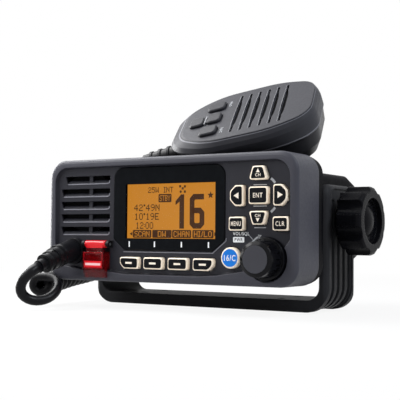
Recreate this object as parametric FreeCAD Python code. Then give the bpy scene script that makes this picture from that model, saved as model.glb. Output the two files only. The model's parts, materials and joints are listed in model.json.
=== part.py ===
"""Fixed-mount marine VHF radio with its gimbal bracket, clamp knobs and fist microphone.

Everything is modelled in the frame of the front panel: X to the right, Y towards the rear with
Y = 0 where the panel's sides start, Z up with Z = 0 at the panel's middle. When it is written
out, each piece moves so that the origin is the middle of the bracket's underside.
All lengths are in millimetres and all angles in degrees.
"""
import FreeCAD, Part
import math
import os

V = FreeCAD.Vector

# Clearances
RUNNING = 0.05          # radial, a shaft in its bore
LOOSE = 0.3             # between pieces that move past each other

# Front panel: a cup, open to the rear, with a recessed face inside a bevelled rim
PANEL_WIDTH = 156.5
PANEL_HEIGHT = 66.5
PANEL_CORNER = 10.3
PANEL_DEPTH = 21.7
RIM_BEVEL = 3.3
RIM_RISE = 1.7
RIM_ARC = (0, 22.5, 45, 67.5, 90)       # where the rim's rounding has its steps, in degrees
RIM_EDGE = 0.7
RECESS_DEPTH = 2.0
RECESS_SLOPE = 0.9
RECESS_CORNER = 8.5
FACE_WALL = 2.6
SIDE_WALL = 3.2
FACE_Y = RECESS_DEPTH - RIM_RISE
FACE_BACK = FACE_Y + FACE_WALL
PANEL_RIGHT = PANEL_WIDTH / 2
PANEL_LEFT = -PANEL_RIGHT
PANEL_TOP = PANEL_HEIGHT / 2
PANEL_LOW = -PANEL_TOP
# Lower edge of the recess: in from the panel's nearer side, up from its lower edge, and corner radius
LIP_RIGHT = ((7.65, 18.6, 2.0), (16.25, 9.5, 2.0), (28.25, 7.5, 4.0), (45.25, 4.8, 4.0), (56.25, 4.1, 4.0))
LIP_LEFT = ((4.75, 13.0, 4.0), (11.25, 7.8, 4.0), (25.25, 5.7, 4.0), (42.25, 5.2, 4.0), (53.25, 4.0, 4.0))
LIP_RUN = 4.5

# Rubber gasket, die-cast chassis and the screws through its flange
GASKET_DEPTH = 4.0
GASKET_INSET = 0.5
GASKET_BAND = 8.3
FLANGE_DEPTH = 2.7
FLANGE_INSET = 1.0
CHASSIS_IN_X, CHASSIS_IN_Z = 8.65, 7.75
CHASSIS_WIDTH = PANEL_WIDTH - 2 * CHASSIS_IN_X
CHASSIS_HEIGHT = PANEL_HEIGHT - 2 * CHASSIS_IN_Z
CHASSIS_CORNER = 4.0
CHASSIS_WALL = 2.6
CHASSIS_STRAIGHT = 49.5
TAPER_LENGTH = 32.2
TAPER_ANGLE = 21.0
FIN_PITCH = 8.4
FIN_THICK = 3.0
FIN_DEEP = 1.3
FIN_MARGIN = 3.0
FIN_SIDE = 6.0
FIN_COUNT = 1 + int((CHASSIS_WIDTH - 2 * FIN_SIDE) / FIN_PITCH)
SCREW_IN_X, SCREW_IN_Z = 4.75, 11.25
SCREW_X = PANEL_RIGHT - SCREW_IN_X
SCREW_Z = PANEL_TOP - SCREW_IN_Z
SCREW_R = 1.5
SCREW_HEAD_R = 2.7
SCREW_HEAD = 1.8
SCREW_SLOT, SCREW_SLOT_LONG = 0.7, 3.4
SCREW_GRIP = 9.0
SCREW_BOSS_R = 3.4
FLANGE_Y = PANEL_DEPTH + GASKET_DEPTH
CHASSIS_Y = FLANGE_Y + FLANGE_DEPTH
TAPER_Y = CHASSIS_Y + CHASSIS_STRAIGHT
REAR_Y = TAPER_Y + TAPER_LENGTH

# Bracket: a U of thick bar; the pivot runs along X through both arms
PIVOT_Y = 55.7
PIVOT_HEIGHT = 47.8
WASHER_THICK = 0.9
ARM_THICK = 4.7
BRACKET_WIDTH = CHASSIS_WIDTH + 2 * (WASHER_THICK + LOOSE + ARM_THICK)
BRACKET_DEPTH = 36.0
BAR_THICK = 6.3
BEND_OUTER = 12.3
BEND_INNER = 7.0
ARM_TOP = 19.0
ARM_CORNER = 7.0
ARM_ROUND = ((0.0, 2.4), (0.8, 0.9), (2.4, 0.0))     # in from the outer face, and off the edge
ARM_RECESS = 0.6
ARM_RIM = 4.6
DIMPLE_R = 1.4
DIMPLE_Z = 13.6
GROOVE_COUNT = 4
GROOVE_WIDTH = 3.4
GROOVE_PITCH = 6.6
GROOVE_DEEP = 1.5
GROOVE_TOP = 11.0
GROOVE_END = 18.0
BASE_HOLE_IN = 30.5
BASE_HOLE_X = BRACKET_WIDTH - 2 * BASE_HOLE_IN
BASE_HOLE_Y = 20.0
BASE_HOLE_R = 2.3
PIVOT_HOLE_R = 3.0
ARM_OUT = BRACKET_WIDTH / 2
ARM_IN = ARM_OUT - ARM_THICK

# Clamp knobs, bolts, washers and threaded inserts
KNOB_R = 18.0
KNOB_LENGTH = 13.6
KNOB_HUB_R = 9.5
KNOB_HUB = 3.8
KNOB_LOBES = 8
LOBE_CUT_R = 5.4
LOBE_CUT_REACH = 2.4
KNOB_DISH_R = 12.1
KNOB_DISH = 3.0
KNOB_DOME_R = 8.2
KNOB_DOME = 2.4
KNOB_EDGE = 2.0
BOLT_R = 2.5
BOLT_IN_KNOB = 8.0
BOLT_IN_CHASSIS = 7.4
INSERT_R = 3.95
BOSS_R = 7.0
BOSS_LENGTH = 7.0
WASHER_R = 9.0

# Display: window lens, liquid crystal panel and its holder
LENS_IN_LEFT, LENS_IN_RIGHT = 44.65, 41.55
LENS_IN_LOW, LENS_IN_TOP = 16.95, 5.15
LENS_LEFT, LENS_RIGHT = PANEL_LEFT + LENS_IN_LEFT, PANEL_RIGHT - LENS_IN_RIGHT
LENS_LOW, LENS_HIGH = PANEL_LOW + LENS_IN_LOW, PANEL_TOP - LENS_IN_TOP
LENS_CORNER = 6.0
LENS_CUT_X = 7.5
LENS_CUT_Z = 6.0
LENS_THICK = 1.7
LENS_PROUD = 0.5
LENS_LEDGE = 2.0
LCD_IN_LEFT, LCD_IN_RIGHT = 6.1, 3.6
LCD_IN_LOW, LCD_IN_TOP = 4.4, 7.1
LCD_LEFT, LCD_RIGHT = LENS_LEFT + LCD_IN_LEFT, LENS_RIGHT - LCD_IN_RIGHT
LCD_LOW, LCD_HIGH = LENS_LOW + LCD_IN_LOW, LENS_HIGH - LCD_IN_TOP
LCD_THICK = 2.0
HOLDER_BASE = 0.9
HOLDER_WALL = 1.2

# Circuit boards and the rubber key mat
FRONT_BOARD_Y = 6.2
BOARD_THICK = 1.6
BOARD_EDGE = 2.2
MAT_THICK = 1.0
POST_R = 1.9
POSTS = (  # which side and edge of the panel, and how far in from each
    (-1, 1, 44.35, 8.95), (-1, -1, 44.35, 11.25), (1, 1, 12.05, 8.65), (1, -1, 28.05, 7.85))

# Keys on the panel: all travel straight in
KEY_PROUD = 2.5
KEY_EDGE = 0.5
KEY_CORNER = 1.1
KEY_FLANGE = 0.8
KEY_TRAVEL = 0.8
PAD_IN_X, PAD_IN_Z = 21.55, 21.55
PAD_X, PAD_Z = PANEL_RIGHT - PAD_IN_X, PANEL_TOP - PAD_IN_Z
ENTER_W, ENTER_H = 10.7, 8.6
ARROW_WIDE, ARROW_NARROW = 10.5, 6.4
ARROW_LONG = 6.8
ARROW_GAP = 3.4
SIDE_KEY_W, SIDE_KEY_H = 7.7, 10.4
SIDE_KEY_GAP = 3.0
SIDE_KEY_CUT = 3.0
LOWER_KEY_W, LOWER_KEY_H = 8.6, 6.9
LOWER_KEY_X = 12.35
LOWER_KEY_DROP = 13.95
LOWER_KEY_Z = PAD_Z - LOWER_KEY_DROP
CHANNEL_IN_X, CHANNEL_IN_Z = 37.25, 13.95
CHANNEL_X, CHANNEL_Z, CHANNEL_R = PANEL_RIGHT - CHANNEL_IN_X, PANEL_LOW + CHANNEL_IN_Z, 5.3
SOFT_KEYS = 4
SOFT_KEY_IN_LEFT, SOFT_KEY_IN_RIGHT, SOFT_KEY_IN_LOW = 12.0, 11.8, 10.25
SOFT_KEY_PITCH = (LENS_RIGHT - LENS_LEFT - SOFT_KEY_IN_LEFT - SOFT_KEY_IN_RIGHT) / (SOFT_KEYS - 1)
SOFT_KEY_X = [LENS_LEFT + SOFT_KEY_IN_LEFT + i * SOFT_KEY_PITCH for i in range(SOFT_KEYS)]
SOFT_KEY_Z = PANEL_LOW + SOFT_KEY_IN_LOW
SOFT_KEY_GAP = 3.3
SOFT_KEY_W, SOFT_KEY_H = SOFT_KEY_PITCH - SOFT_KEY_GAP, 6.2
SOFT_KEY_CUT = 2.6

# Rotary dial: it turns without end and pushes in
DIAL_IN_X, DIAL_IN_Z = 17.05, 13.75
DIAL_X, DIAL_Z = PANEL_RIGHT - DIAL_IN_X, PANEL_LOW + DIAL_IN_Z
DIAL_SKIRT_R = 10.9
DIAL_R = 9.4
DIAL_FRONT_R = 8.75
DIAL_CAP_R = 7.0
DIAL_PROUD = 13.2
DIAL_CAP = 2.7
DIAL_SKIRT = 2.2
DIAL_EDGE = 0.9
DIAL_GRIPS = 20
DIAL_GRIP_R = 0.55
DIAL_DISH_R = 11.5
DIAL_PUSH = 0.8
SHAFT_R = 3.0
BUSH_R = 4.0
ENCODER_SIZE = 12.0
ENCODER_BACK = 11.5
ENCODER_FLANGE = 14.4

# Loudspeaker behind five sloping louvres
LOUVRE_COUNT = 5
LOUVRE_PITCH = 7.0
LOUVRE_IN_LEFT, LOUVRE_IN_TOP, LOUVRE_TO_LENS = 7.25, 9.05, 2.9
LOUVRE_TOP = PANEL_TOP - LOUVRE_IN_TOP
LOUVRE_SLIT = 2.0
LOUVRE_MOUTH = 4.1
LOUVRE_LEFT, LOUVRE_RIGHT = PANEL_LEFT + LOUVRE_IN_LEFT, LENS_LEFT - LOUVRE_TO_LENS
LOUVRE_FIRST_SHORT = 3.0
LOUVRE_SLANT = 1.4
LOUVRE_RIB_IN, LOUVRE_RIB = 27.85, 2.4
LOUVRE_RIB_X = PANEL_LEFT + LOUVRE_RIB_IN
SPEAKER_IN_X, SPEAKER_IN_Z = 24.45, 23.05
SPEAKER_X, SPEAKER_Z = PANEL_LEFT + SPEAKER_IN_X, PANEL_TOP - SPEAKER_IN_Z
SPEAKER_R = 17.0
SPEAKER_DEEP = 9.0
SPEAKER_RIM = 2.0
CLOTH_THICK = 0.3
CONE_THICK = 0.8
MAGNET_R = 9.5
MAGNET_LONG = 5.5

# Distress button under its spring-loaded flip cover
COVER_IN_X, COVER_IN_LOW = 34.95, 1.95
COVER_X = PANEL_LEFT + COVER_IN_X
COVER_W = 14.3
COVER_LIP, COVER_BOX = 4.7, 9.2
COVER_LOW = PANEL_LOW + COVER_IN_LOW
COVER_LEDGE = COVER_LOW + COVER_LIP
COVER_TOP = COVER_LEDGE + COVER_BOX
COVER_PROUD = 5.8
COVER_WALL = 1.2
HINGE_UP = 4.2
HINGE_Y, HINGE_Z = -2.3, COVER_TOP + HINGE_UP
HINGE_PIN_R = 0.75
HINGE_KNUCKLE_R = 2.0
HINGE_EAR = 1.7
HINGE_WEB = 2.6
BUTTON_W, BUTTON_H = 9.0, 6.4
BUTTON_DROP = 0.2
BUTTON_Z = (COVER_TOP + COVER_LEDGE) / 2 - BUTTON_DROP
BUTTON_PROUD = 1.8
BUTTON_TRAVEL = 1.0

# Cord gland and strain relief on the panel
GLAND_IN_X, GLAND_IN_Z = 18.25, 16.05
GLAND_X, GLAND_Z = PANEL_LEFT + GLAND_IN_X, PANEL_LOW + GLAND_IN_Z
GLAND_R = 7.1
GLAND_BASE = 3.0
GLAND_STEM_R = 4.5
GLAND_NUT_R = 6.3
GLAND_NUT = 1.6
RELIEF_BEND = (GLAND_X, -12.0, GLAND_Z - 1.7)
RELIEF_END = (GLAND_X, -26.0, GLAND_Z - 6.7)
RELIEF_R = (6.4, 5.8, 4.3)
RELIEF_RIB = 0.6
RELIEF_RIB_W = 1.6
RELIEF_RIBS = 4
SLEEVE_R = 3.4
SLEEVE_LONG = 4.2

# Rear of the chassis
FITTING_IN = 25.6
SOCKET_X = CHASSIS_WIDTH / 2 - FITTING_IN
SOCKET_R = 7.94
SOCKET_LONG = 12.5
SOCKET_FLANGE_R = 10.2
SOCKET_FLANGE = 2.2
SOCKET_BORE_R = 4.2
SOCKET_PIN_R = 1.9
SOCKET_PIN_WALL = 0.9
GROMMET_X = FITTING_IN - CHASSIS_WIDTH / 2
GROMMET_R = 6.0
GROMMET_FLARE = 1.6
GROMMET_BORE_R = 3.2
GROMMET_LIP = 2.4

# Main board and what is on it
MAIN_BOARD_GAP = 8.0
MAIN_BOARD_W, MAIN_BOARD_L = CHASSIS_WIDTH - 2 * (CHASSIS_WALL + MAIN_BOARD_GAP), 55.0
MAIN_BOARD_Y = CHASSIS_Y + 3.0
MAIN_BOARD_UP = 11.5
MAIN_BOARD_Z = MAIN_BOARD_UP - CHASSIS_HEIGHT / 2
MAIN_POST_R = 3.0
MAIN_POST_IN, MAIN_POST_FRONT, MAIN_POST_REAR = 5.0, 8.0, 12.0
SHIELD_W, SHIELD_L, SHIELD_H = 62.0, 40.0, 8.0
SHIELD_WALL = 0.6
MODULE_W, MODULE_L, MODULE_H = 60.0, 10.0, 11.0

# Microphone, in its own frame: U from the cord end to the top end, V towards the press-to-talk
# bar, N out of its face. Its origin is in the face, at the middle of the sound slots.
MIC_AT = (31.5, 44.9, 61.9)
MIC_HEADING = 11.0
MIC_RISE = 10.3
MIC_TILT = 36.0
# Each outline is half of a symmetrical one: u, half width and rounding at the top, the widest place,
# the waist and the cord end.
MIC_HALF = 30.0
MIC_END_U = -47.0
MIC_SEAM_OUTLINE = ((31.8, 20.0, 16.0), (9.0, MIC_HALF, 46.0), (-26.0, 24.5, 40.0), (MIC_END_U, 11.0, 14.0))
MIC_WIDE_OUTLINE = ((32.2, 19.5, 17.0), (9.0, 29.6, 50.0), (-30.0, 29.0, 40.0), (-53.5, 18.0, 20.0))
MIC_FACE_OUTLINE = ((30.4, 18.5, 14.0), (9.0, 26.7, 46.0), (-28.0, 26.2, 34.0), (-44.5, 14.0, 14.0))
MIC_SEAM = 12.0
MIC_GIRTH = 5.5
MIC_FRONT_STEPS = (0.4, 0.75, 0.95)         # how far the rounding is from seam to girth
MIC_FACE_STEPS = ((0.45, 0.25), (0.8, 0.68))        # share of the height, and of the way in, above the girth
MIC_BACK_STEPS = ((0.45, 0.7), (0.72, 1.9), (0.92, 5.6))    # share of the thickness, and inset
MIC_THICK = 28.5
MIC_WALL = 2.2
MIC_HOLLOW_IN = 3.2
MIC_BACK_HOLLOW_IN = 6.2
MIC_BOARD_IN = 6.7
MIC_BACK_INSET = 9.0
MIC_END_THIN = 8.5
MIC_THIN_U = -2.0
MIC_SLOTS = 6
MIC_SLOT_PITCH = 5.5
MIC_SLOT_LONG = 42.0
MIC_SLOT_W = 1.5
MIC_SLOT_DEEP = 1.1
MIC_SLIT_LONG = 26.0
MIC_SLIT_W = 1.0
MIC_KEY_PROUD = 1.8
MIC_KEY_TRAVEL = 0.7
MIC_KEYS = {  # centre u, centre v, size along u, size along v
    "mic_key_power": (-27.3, 12.6, 10.4, 9.0),
    "mic_key_up": (-26.5, -1.2, 8.4, 10.0),
    "mic_key_down": (-36.4, -2.4, 8.2, 9.4),
    "mic_key_channel": (-27.3, -15.4, 10.0, 9.0),
}
MIC_KEY_CORNER = 2.4
MIC_KEY_FLANGE = 0.6
PTT = ((-9.0, 24.5), (-9.0, 31.0), (-2.0, 33.2), (15.0, 33.2), (26.0, 28.2), (26.0, 19.5))
PTT_CORNERS = (1.5, 2.5, 14.0, 14.0, 3.0, 1.5)
PTT_HIGH, PTT_LOW = -9.5, -20.0
PTT_TRAVEL = 1.5
PTT_EDGE = 1.1
MIC_BOARD_N = -7.4
MIC_CAPSULE_R = 4.8
MIC_CAPSULE = 4.2
MIC_POST_R = 3.0
MIC_SCREWS = ((-36.0, 10.5), (17.0, 14.0), (17.0, -14.0))
MIC_SCREW_R = 1.25
MIC_SCREW_HEAD_R = 2.3
MIC_SCREW_HEAD = 1.6
MIC_SCREW_N = -21.0
STUD_U, STUD_V = 8.0, -1.0
STUD_R = 7.5
STUD_NECK_R = 4.0
STUD_DISC = 2.8
STUD_LONG = 12.0
MIC_BOOT_N = -15.5
MIC_BOOT_V = -2.0
MIC_BOOT_R = (6.2, 3.6)
MIC_BOOT_LONG = 29.0
MIC_BOOT_IN = 4.0
MIC_BOOT_RIBS = 4
MIC_BOOT_FIRST_RIB, MIC_BOOT_RIB_PITCH = 0.3, 0.17      # shares of the boot's length

# Curly cord: the plain stretches and the outer shape of the coil, as points of their routes
CORD_R = 2.55
COIL_R = 6.7
LOOP_CENTRE = (-62.3, -28.5, -36.0)
LOOP_AZIMUTH = 32.5
LOOP = (  # across, up and deeper, seen along LOOP_AZIMUTH
    (-8.6, 3.2, -7.2), (-10.0, -4.2, -4.8), (-4.8, -8.8, -2.2), (2.8, -9.0, 0.4),
    (8.8, -4.6, 2.8), (8.9, 1.8, 5.0))
COIL = ((-70.0, -17.0, -36.0), (-81.4, 1.5, -36.2), (-85.5, 23.0, -32.8), (-88.0, 47.0, -30.5),
        (-90.0, 71.0, -27.0), (-89.5, 92.0, -15.0), (-86.0, 101.0, 6.0), (-78.0, 99.0, 25.0),
        (-67.5, 89.5, 32.9), (-67.5, 72.0, 32.9))
TAIL = ((-56.2, 40.4, 31.2), (-62.4, 46.4, 29.7), (-66.2, 54.4, 28.9))
COIL_ENTRY = 4.0
TAIL_RUN = 5.8


def block(x, y, z):
    """A box between two x, two y and two z values."""
    return Part.makeBox(x[1] - x[0], y[1] - y[0], z[1] - z[0], V(x[0], y[0], z[0]))


def rod(start, along, radius, length):
    return Part.makeCylinder(radius, length, V(*start), V(*along))


def cone(start, along, radius, end_radius, length):
    return Part.makeCone(radius, end_radius, length, V(*start), V(*along))


def on_panel(a, b, depth):
    """A point drawn on the front panel, x and z, at a depth y."""
    return V(a, depth, b)


def on_mic(a, b, depth):
    """A point drawn on the microphone's face, u and v, at a height n."""
    return V(a, b, depth)


def grown(points, by):
    """A convex outline with every side moved outwards, or inwards where by is negative."""
    count = len(points)
    area = sum(points[i - 1][0] * points[i][1] - points[i][0] * points[i - 1][1] for i in range(count))
    turn = by if area > 0 else -by
    lines = []
    for i in range(count):
        (ax, ay), (bx, by_) = points[i], points[(i + 1) % count]
        long = math.hypot(bx - ax, by_ - ay)
        nx, ny = (by_ - ay) / long * turn, -(bx - ax) / long * turn
        lines.append((ax + nx, ay + ny, bx - ax, by_ - ay))
    out = []
    for i in range(count):
        px, py, dx, dy = lines[i - 1]
        qx, qy, ex, ey = lines[i]
        t = ((qx - px) * ey - (qy - py) * ex) / (dx * ey - dy * ex)
        out.append((px + t * dx, py + t * dy))
    return out


def rounded_wire(points, radii, plane, depth):
    """A closed outline of straight sides and tangent arcs, drawn on a plane at a depth."""
    count = len(points)
    corners = []
    for i in range(count):
        at, before, after = (V(*points[j % count], 0) for j in (i, i - 1, i + 1))
        back, on = (before - at).normalize(), (after - at).normalize()
        half = back.getAngle(on) / 2
        reach = radii[i] / math.tan(half)
        middle = at + (back + on).normalize() * (radii[i] / math.sin(half) - radii[i])
        corners.append((at + back * reach, middle, at + on * reach))
    edges = []
    for i in range(count):
        start, middle, end = (plane(p.x, p.y, depth) for p in corners[i])
        following = plane(corners[(i + 1) % count][0].x, corners[(i + 1) % count][0].y, depth)
        edges.append(Part.Arc(start, middle, end).toShape())
        if (following - end).Length > 1e-6:
            edges.append(Part.LineSegment(end, following).toShape())
    return Part.Wire(edges)


def prism(points, radii, plane, start, end):
    """An outline with rounded corners, extruded from one depth to another."""
    face = Part.Face(rounded_wire(points, radii, plane, start))
    return face.extrude(plane(0, 0, end) - plane(0, 0, start))


def lofted(points, radii, plane, steps):
    """A solid through steps of (depth, inset), each the outline moved in by its inset."""
    wires = []
    for depth, inset in steps:
        smaller = [max(r - inset, 0.2) for r in radii]
        wires.append(rounded_wire(grown(points, -inset), smaller, plane, depth))
    return Part.makeLoft(wires, True, True)


def rectangle(x, z):
    return [(x[0], z[0]), (x[1], z[0]), (x[1], z[1]), (x[0], z[1])]


def centred(width, height, x=0.0, z=0.0):
    return rectangle((x - width / 2, x + width / 2), (z - height / 2, z + height / 2))


def ring(points, radii, plane, start, end, band):
    """A flat frame: an outline with the same outline, moved in by its band, cut out."""
    outer = prism(points, radii, plane, start, end)
    smaller = [max(r - band, 0.5) for r in radii]
    return outer.cut(prism(grown(points, -band), smaller, plane, start, end))


def screw_places():
    return [(sx * SCREW_X, sz * SCREW_Z) for sx in (-1, 1) for sz in (-1, 1)]


# ---------------------------------------------------------------- outlines on the panel

def panel_outline(inset=0.0):
    return centred(PANEL_WIDTH - 2 * inset, PANEL_HEIGHT - 2 * inset), [PANEL_CORNER - inset] * 4


def recess_outline():
    edge = RIM_BEVEL + RIM_EDGE
    points = [(PANEL_RIGHT - edge, PANEL_TOP - edge), (PANEL_LEFT + edge, PANEL_TOP - edge)]
    radii = [RECESS_CORNER] * 2
    for inward, up, radius in LIP_LEFT:
        points.append((PANEL_LEFT + inward, PANEL_LOW + up))
        radii.append(radius)
    for inward, up, radius in reversed(LIP_RIGHT):
        points.append((PANEL_RIGHT - inward, PANEL_LOW + up))
        radii.append(radius)
    points.append((PANEL_RIGHT - edge, PANEL_LOW + LIP_RIGHT[0][1] + LIP_RUN))
    radii.append(LIP_RIGHT[0][2])
    return points, radii


def lens_outline(inset=0.0):
    points = [(LENS_RIGHT, LENS_HIGH), (LENS_LEFT, LENS_HIGH), (LENS_LEFT, LENS_LOW + LENS_CUT_Z),
              (LENS_LEFT + LENS_CUT_X, LENS_LOW), (LENS_RIGHT - LENS_CUT_X, LENS_LOW),
              (LENS_RIGHT, LENS_LOW + LENS_CUT_Z)]
    radii = [LENS_CORNER - inset] * 2 + [1.5] * 4
    return grown(points, -inset), radii


def arrow_outline(up):
    near = PAD_Z + up * (ENTER_H / 2 + ARROW_GAP)
    far = near + up * ARROW_LONG
    wide, narrow = ARROW_WIDE / 2, ARROW_NARROW / 2
    points = [(PAD_X - wide, near), (PAD_X + wide, near), (PAD_X + narrow, far), (PAD_X - narrow, far)]
    return points, [KEY_CORNER] * 4


def side_outline(right):
    near = PAD_X + right * (ENTER_W / 2 + SIDE_KEY_GAP)
    far, cut = near + right * SIDE_KEY_W, right * SIDE_KEY_CUT
    low, high = PAD_Z - SIDE_KEY_H / 2, PAD_Z + SIDE_KEY_H / 2
    points = [(near, low), (far - cut, low), (far, low + SIDE_KEY_CUT), (far, high - SIDE_KEY_CUT),
              (far - cut, high), (near, high)]
    return points, [KEY_CORNER] * 6


def lower_outline(right):
    return centred(LOWER_KEY_W, LOWER_KEY_H, PAD_X + right * LOWER_KEY_X, LOWER_KEY_Z), [KEY_CORNER] * 4


def round_outline(x, z, radius):
    """A circle as four quarter arcs."""
    short = radius * 0.999
    return centred(2 * radius, 2 * radius, x, z), [short] * 4


def soft_outline(index):
    """A soft key; the first and the last have their outer lower corner cut off."""
    x = SOFT_KEY_X[index]
    (left, right), (low, high) = ((c - s / 2, c + s / 2) for c, s in ((x, SOFT_KEY_W),
                                                                     (SOFT_KEY_Z, SOFT_KEY_H)))
    points = [(left, low), (right, low), (right, high), (left, high)]
    if index == 0:
        points[0:1] = [(left, low + SOFT_KEY_CUT), (left + SOFT_KEY_CUT, low)]
    if index == len(SOFT_KEY_X) - 1:
        points[1:2] = [(right - SOFT_KEY_CUT, low), (right, low + SOFT_KEY_CUT)]
    return points, [KEY_CORNER] * len(points)


def key_outlines():
    outlines = {
        "key_up": arrow_outline(1), "key_down": arrow_outline(-1),
        "key_left": side_outline(-1), "key_right": side_outline(1),
        "key_enter": (centred(ENTER_W, ENTER_H, PAD_X, PAD_Z), [KEY_CORNER] * 4),
        "key_menu": lower_outline(-1), "key_clear": lower_outline(1),
        "key_channel": round_outline(CHANNEL_X, CHANNEL_Z, CHANNEL_R),
    }
    for index in range(len(SOFT_KEY_X)):
        outlines[f"soft_key_{index + 1}"] = soft_outline(index)
    return outlines


def button_outline():
    return centred(BUTTON_W, BUTTON_H, COVER_X, BUTTON_Z), [KEY_CORNER] * 4


def hole(outline, start, end):
    points, radii = outline
    return prism(grown(points, LOOSE), [r + LOOSE for r in radii], on_panel, start, end)


def capped(outline, front, travel):
    """A key or button: a bevelled cap, its stem through the panel and a flange behind it."""
    points, radii = outline
    back = FACE_BACK + LOOSE
    cap = lofted(points, radii, on_panel, ((front, KEY_EDGE), (front + KEY_EDGE, 0.0)))
    stem = prism(points, radii, on_panel, front + KEY_EDGE, back + KEY_FLANGE)
    wide = prism(grown(points, KEY_FLANGE), radii, on_panel, back, back + KEY_FLANGE)
    assert back + KEY_FLANGE + travel < FRONT_BOARD_Y - MAT_THICK
    return cap.fuse(stem).fuse(wide)


# ---------------------------------------------------------------- front panel and what it holds

def louvre(index):
    """One sloping slot: its roof is level and its floor falls towards the front."""
    top = LOUVRE_TOP - index * LOUVRE_PITCH
    left = LOUVRE_LEFT + (LOUVRE_FIRST_SHORT if index == 0 else 0.0)
    front, back = FACE_Y - 0.01, FACE_BACK + 0.01
    section = [V(left, front, top), V(left, back, top), V(left, back, top - LOUVRE_SLIT),
               V(left, front, top - LOUVRE_MOUTH)]
    wedge = Part.Face(Part.makePolygon(section + section[:1])).extrude(V(LOUVRE_RIGHT - left, 0, 0))
    slant = Part.Face(Part.makePolygon([V(left, front - 1, top - LOUVRE_MOUTH), V(left, front - 1, top),
                                        V(left + LOUVRE_SLANT, front - 1, top - LOUVRE_MOUTH),
                                        V(left, front - 1, top - LOUVRE_MOUTH)]))
    rib = block((LOUVRE_RIB_X - LOUVRE_RIB / 2, LOUVRE_RIB_X + LOUVRE_RIB / 2),
                (FACE_Y + FACE_WALL / 3, back), (top - LOUVRE_MOUTH, top))
    return wedge.cut(slant.extrude(V(0, FACE_WALL + 2, 0))).cut(rib)


def hinge_ears():
    """Two ears on the panel that carry the flip cover's pin."""
    ears = []
    for side in (-1, 1):
        near = COVER_X + side * (COVER_W / 2 + LOOSE)
        x = sorted((near, near + side * HINGE_EAR))
        lug = rod((x[0], HINGE_Y, HINGE_Z), (1, 0, 0), HINGE_KNUCKLE_R, HINGE_EAR)
        foot = block(x, (HINGE_Y, FACE_Y + 0.2), (HINGE_Z - HINGE_KNUCKLE_R, HINGE_Z + HINGE_KNUCKLE_R))
        ears.append(lug.fuse(foot))
    pin_hole = rod((COVER_X - COVER_W, HINGE_Y, HINGE_Z), (1, 0, 0), HINGE_PIN_R + RUNNING / 2,
                   2 * COVER_W)
    return [ear.cut(pin_hole) for ear in ears]


def post_places():
    return [(sx * (PANEL_RIGHT - in_x), sz * (PANEL_TOP - in_z)) for sx, sz, in_x, in_z in POSTS]


def front_panel():
    points, radii = panel_outline()
    turns = [math.radians(turn) for turn in RIM_ARC]
    steps = [(-RIM_RISE * math.sin(turn), RIM_BEVEL * (1 - math.cos(turn))) for turn in turns]
    rim = lofted(points, radii, on_panel, steps)
    shell = rim.fuse(prism(points, radii, on_panel, 0.0, PANEL_DEPTH))
    inner, inner_radii = panel_outline(SIDE_WALL)
    shell = shell.cut(prism(inner, inner_radii, on_panel, FACE_BACK, PANEL_DEPTH))
    recess, corners = recess_outline()
    shell = shell.cut(lofted(recess, corners, on_panel, ((-RIM_RISE, 0.0), (FACE_Y, RECESS_SLOPE))))
    shell = shell.cut(rod((DIAL_X, -RIM_RISE - 1, DIAL_Z), (0, 1, 0), DIAL_DISH_R, RIM_RISE + 1 + FACE_Y))
    post = FRONT_BOARD_Y - FACE_BACK
    adds = [rod((x, FACE_BACK, z), (0, 1, 0), POST_R, post) for x, z in post_places()]
    for x, z in screw_places():
        adds.append(rod((x, FACE_BACK, z), (0, 1, 0), SCREW_BOSS_R, PANEL_DEPTH - FACE_BACK))
    adds += hinge_ears()
    shell = shell.fuse(adds)
    cuts = [hole(outline, FACE_Y - 1, FACE_BACK + 1) for outline in key_outlines().values()]
    cuts.append(hole(button_outline(), FACE_Y - 1, FACE_BACK + 1))
    pocket, pocket_radii = lens_outline(-LOOSE / 2)
    cuts.append(prism(pocket, pocket_radii, on_panel, FACE_Y - 1, FACE_Y - LENS_PROUD + LENS_THICK))
    window, window_radii = lens_outline(LENS_LEDGE)
    cuts.append(prism(window, window_radii, on_panel, FACE_Y, FACE_BACK + 1))
    cuts += [louvre(index) for index in range(LOUVRE_COUNT)]
    cuts.append(rod((DIAL_X, -1, DIAL_Z), (0, 1, 0), BUSH_R + LOOSE, FACE_BACK + 2))
    cuts.append(rod((GLAND_X, -1, GLAND_Z), (0, 1, 0), GLAND_STEM_R + RUNNING, FACE_BACK + 2))
    for x, z in screw_places():
        start = PANEL_DEPTH - SCREW_GRIP - RUNNING
        cuts.append(rod((x, start, z), (0, 1, 0), SCREW_R + RUNNING, SCREW_GRIP + 1))
    return shell.cut(cuts).removeSplitter()


def display_lens():
    points, radii = lens_outline()
    front = FACE_Y - LENS_PROUD
    bevel = lofted(points, radii, on_panel, ((front, 0.4), (front + 0.4, 0.0)))
    return bevel.fuse(prism(points, radii, on_panel, front + 0.4, front + LENS_THICK))


def lcd_outline(grow=0.0):
    points = rectangle((LCD_LEFT, LCD_RIGHT), (LCD_LOW, LCD_HIGH))
    return grown(points, grow), [0.5 + grow] * 4


def lcd_panel():
    back = FRONT_BOARD_Y - HOLDER_BASE
    return prism(*lcd_outline(), on_panel, back - LCD_THICK, back)


def lcd_frame():
    """A tray on the front board with the display in it."""
    outer, radii = lcd_outline(HOLDER_WALL + RUNNING)
    tray = prism(outer, radii, on_panel, FACE_BACK + LOOSE, FRONT_BOARD_Y)
    return tray.cut(prism(*lcd_outline(RUNNING), on_panel, FACE_BACK, FRONT_BOARD_Y - HOLDER_BASE))


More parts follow.
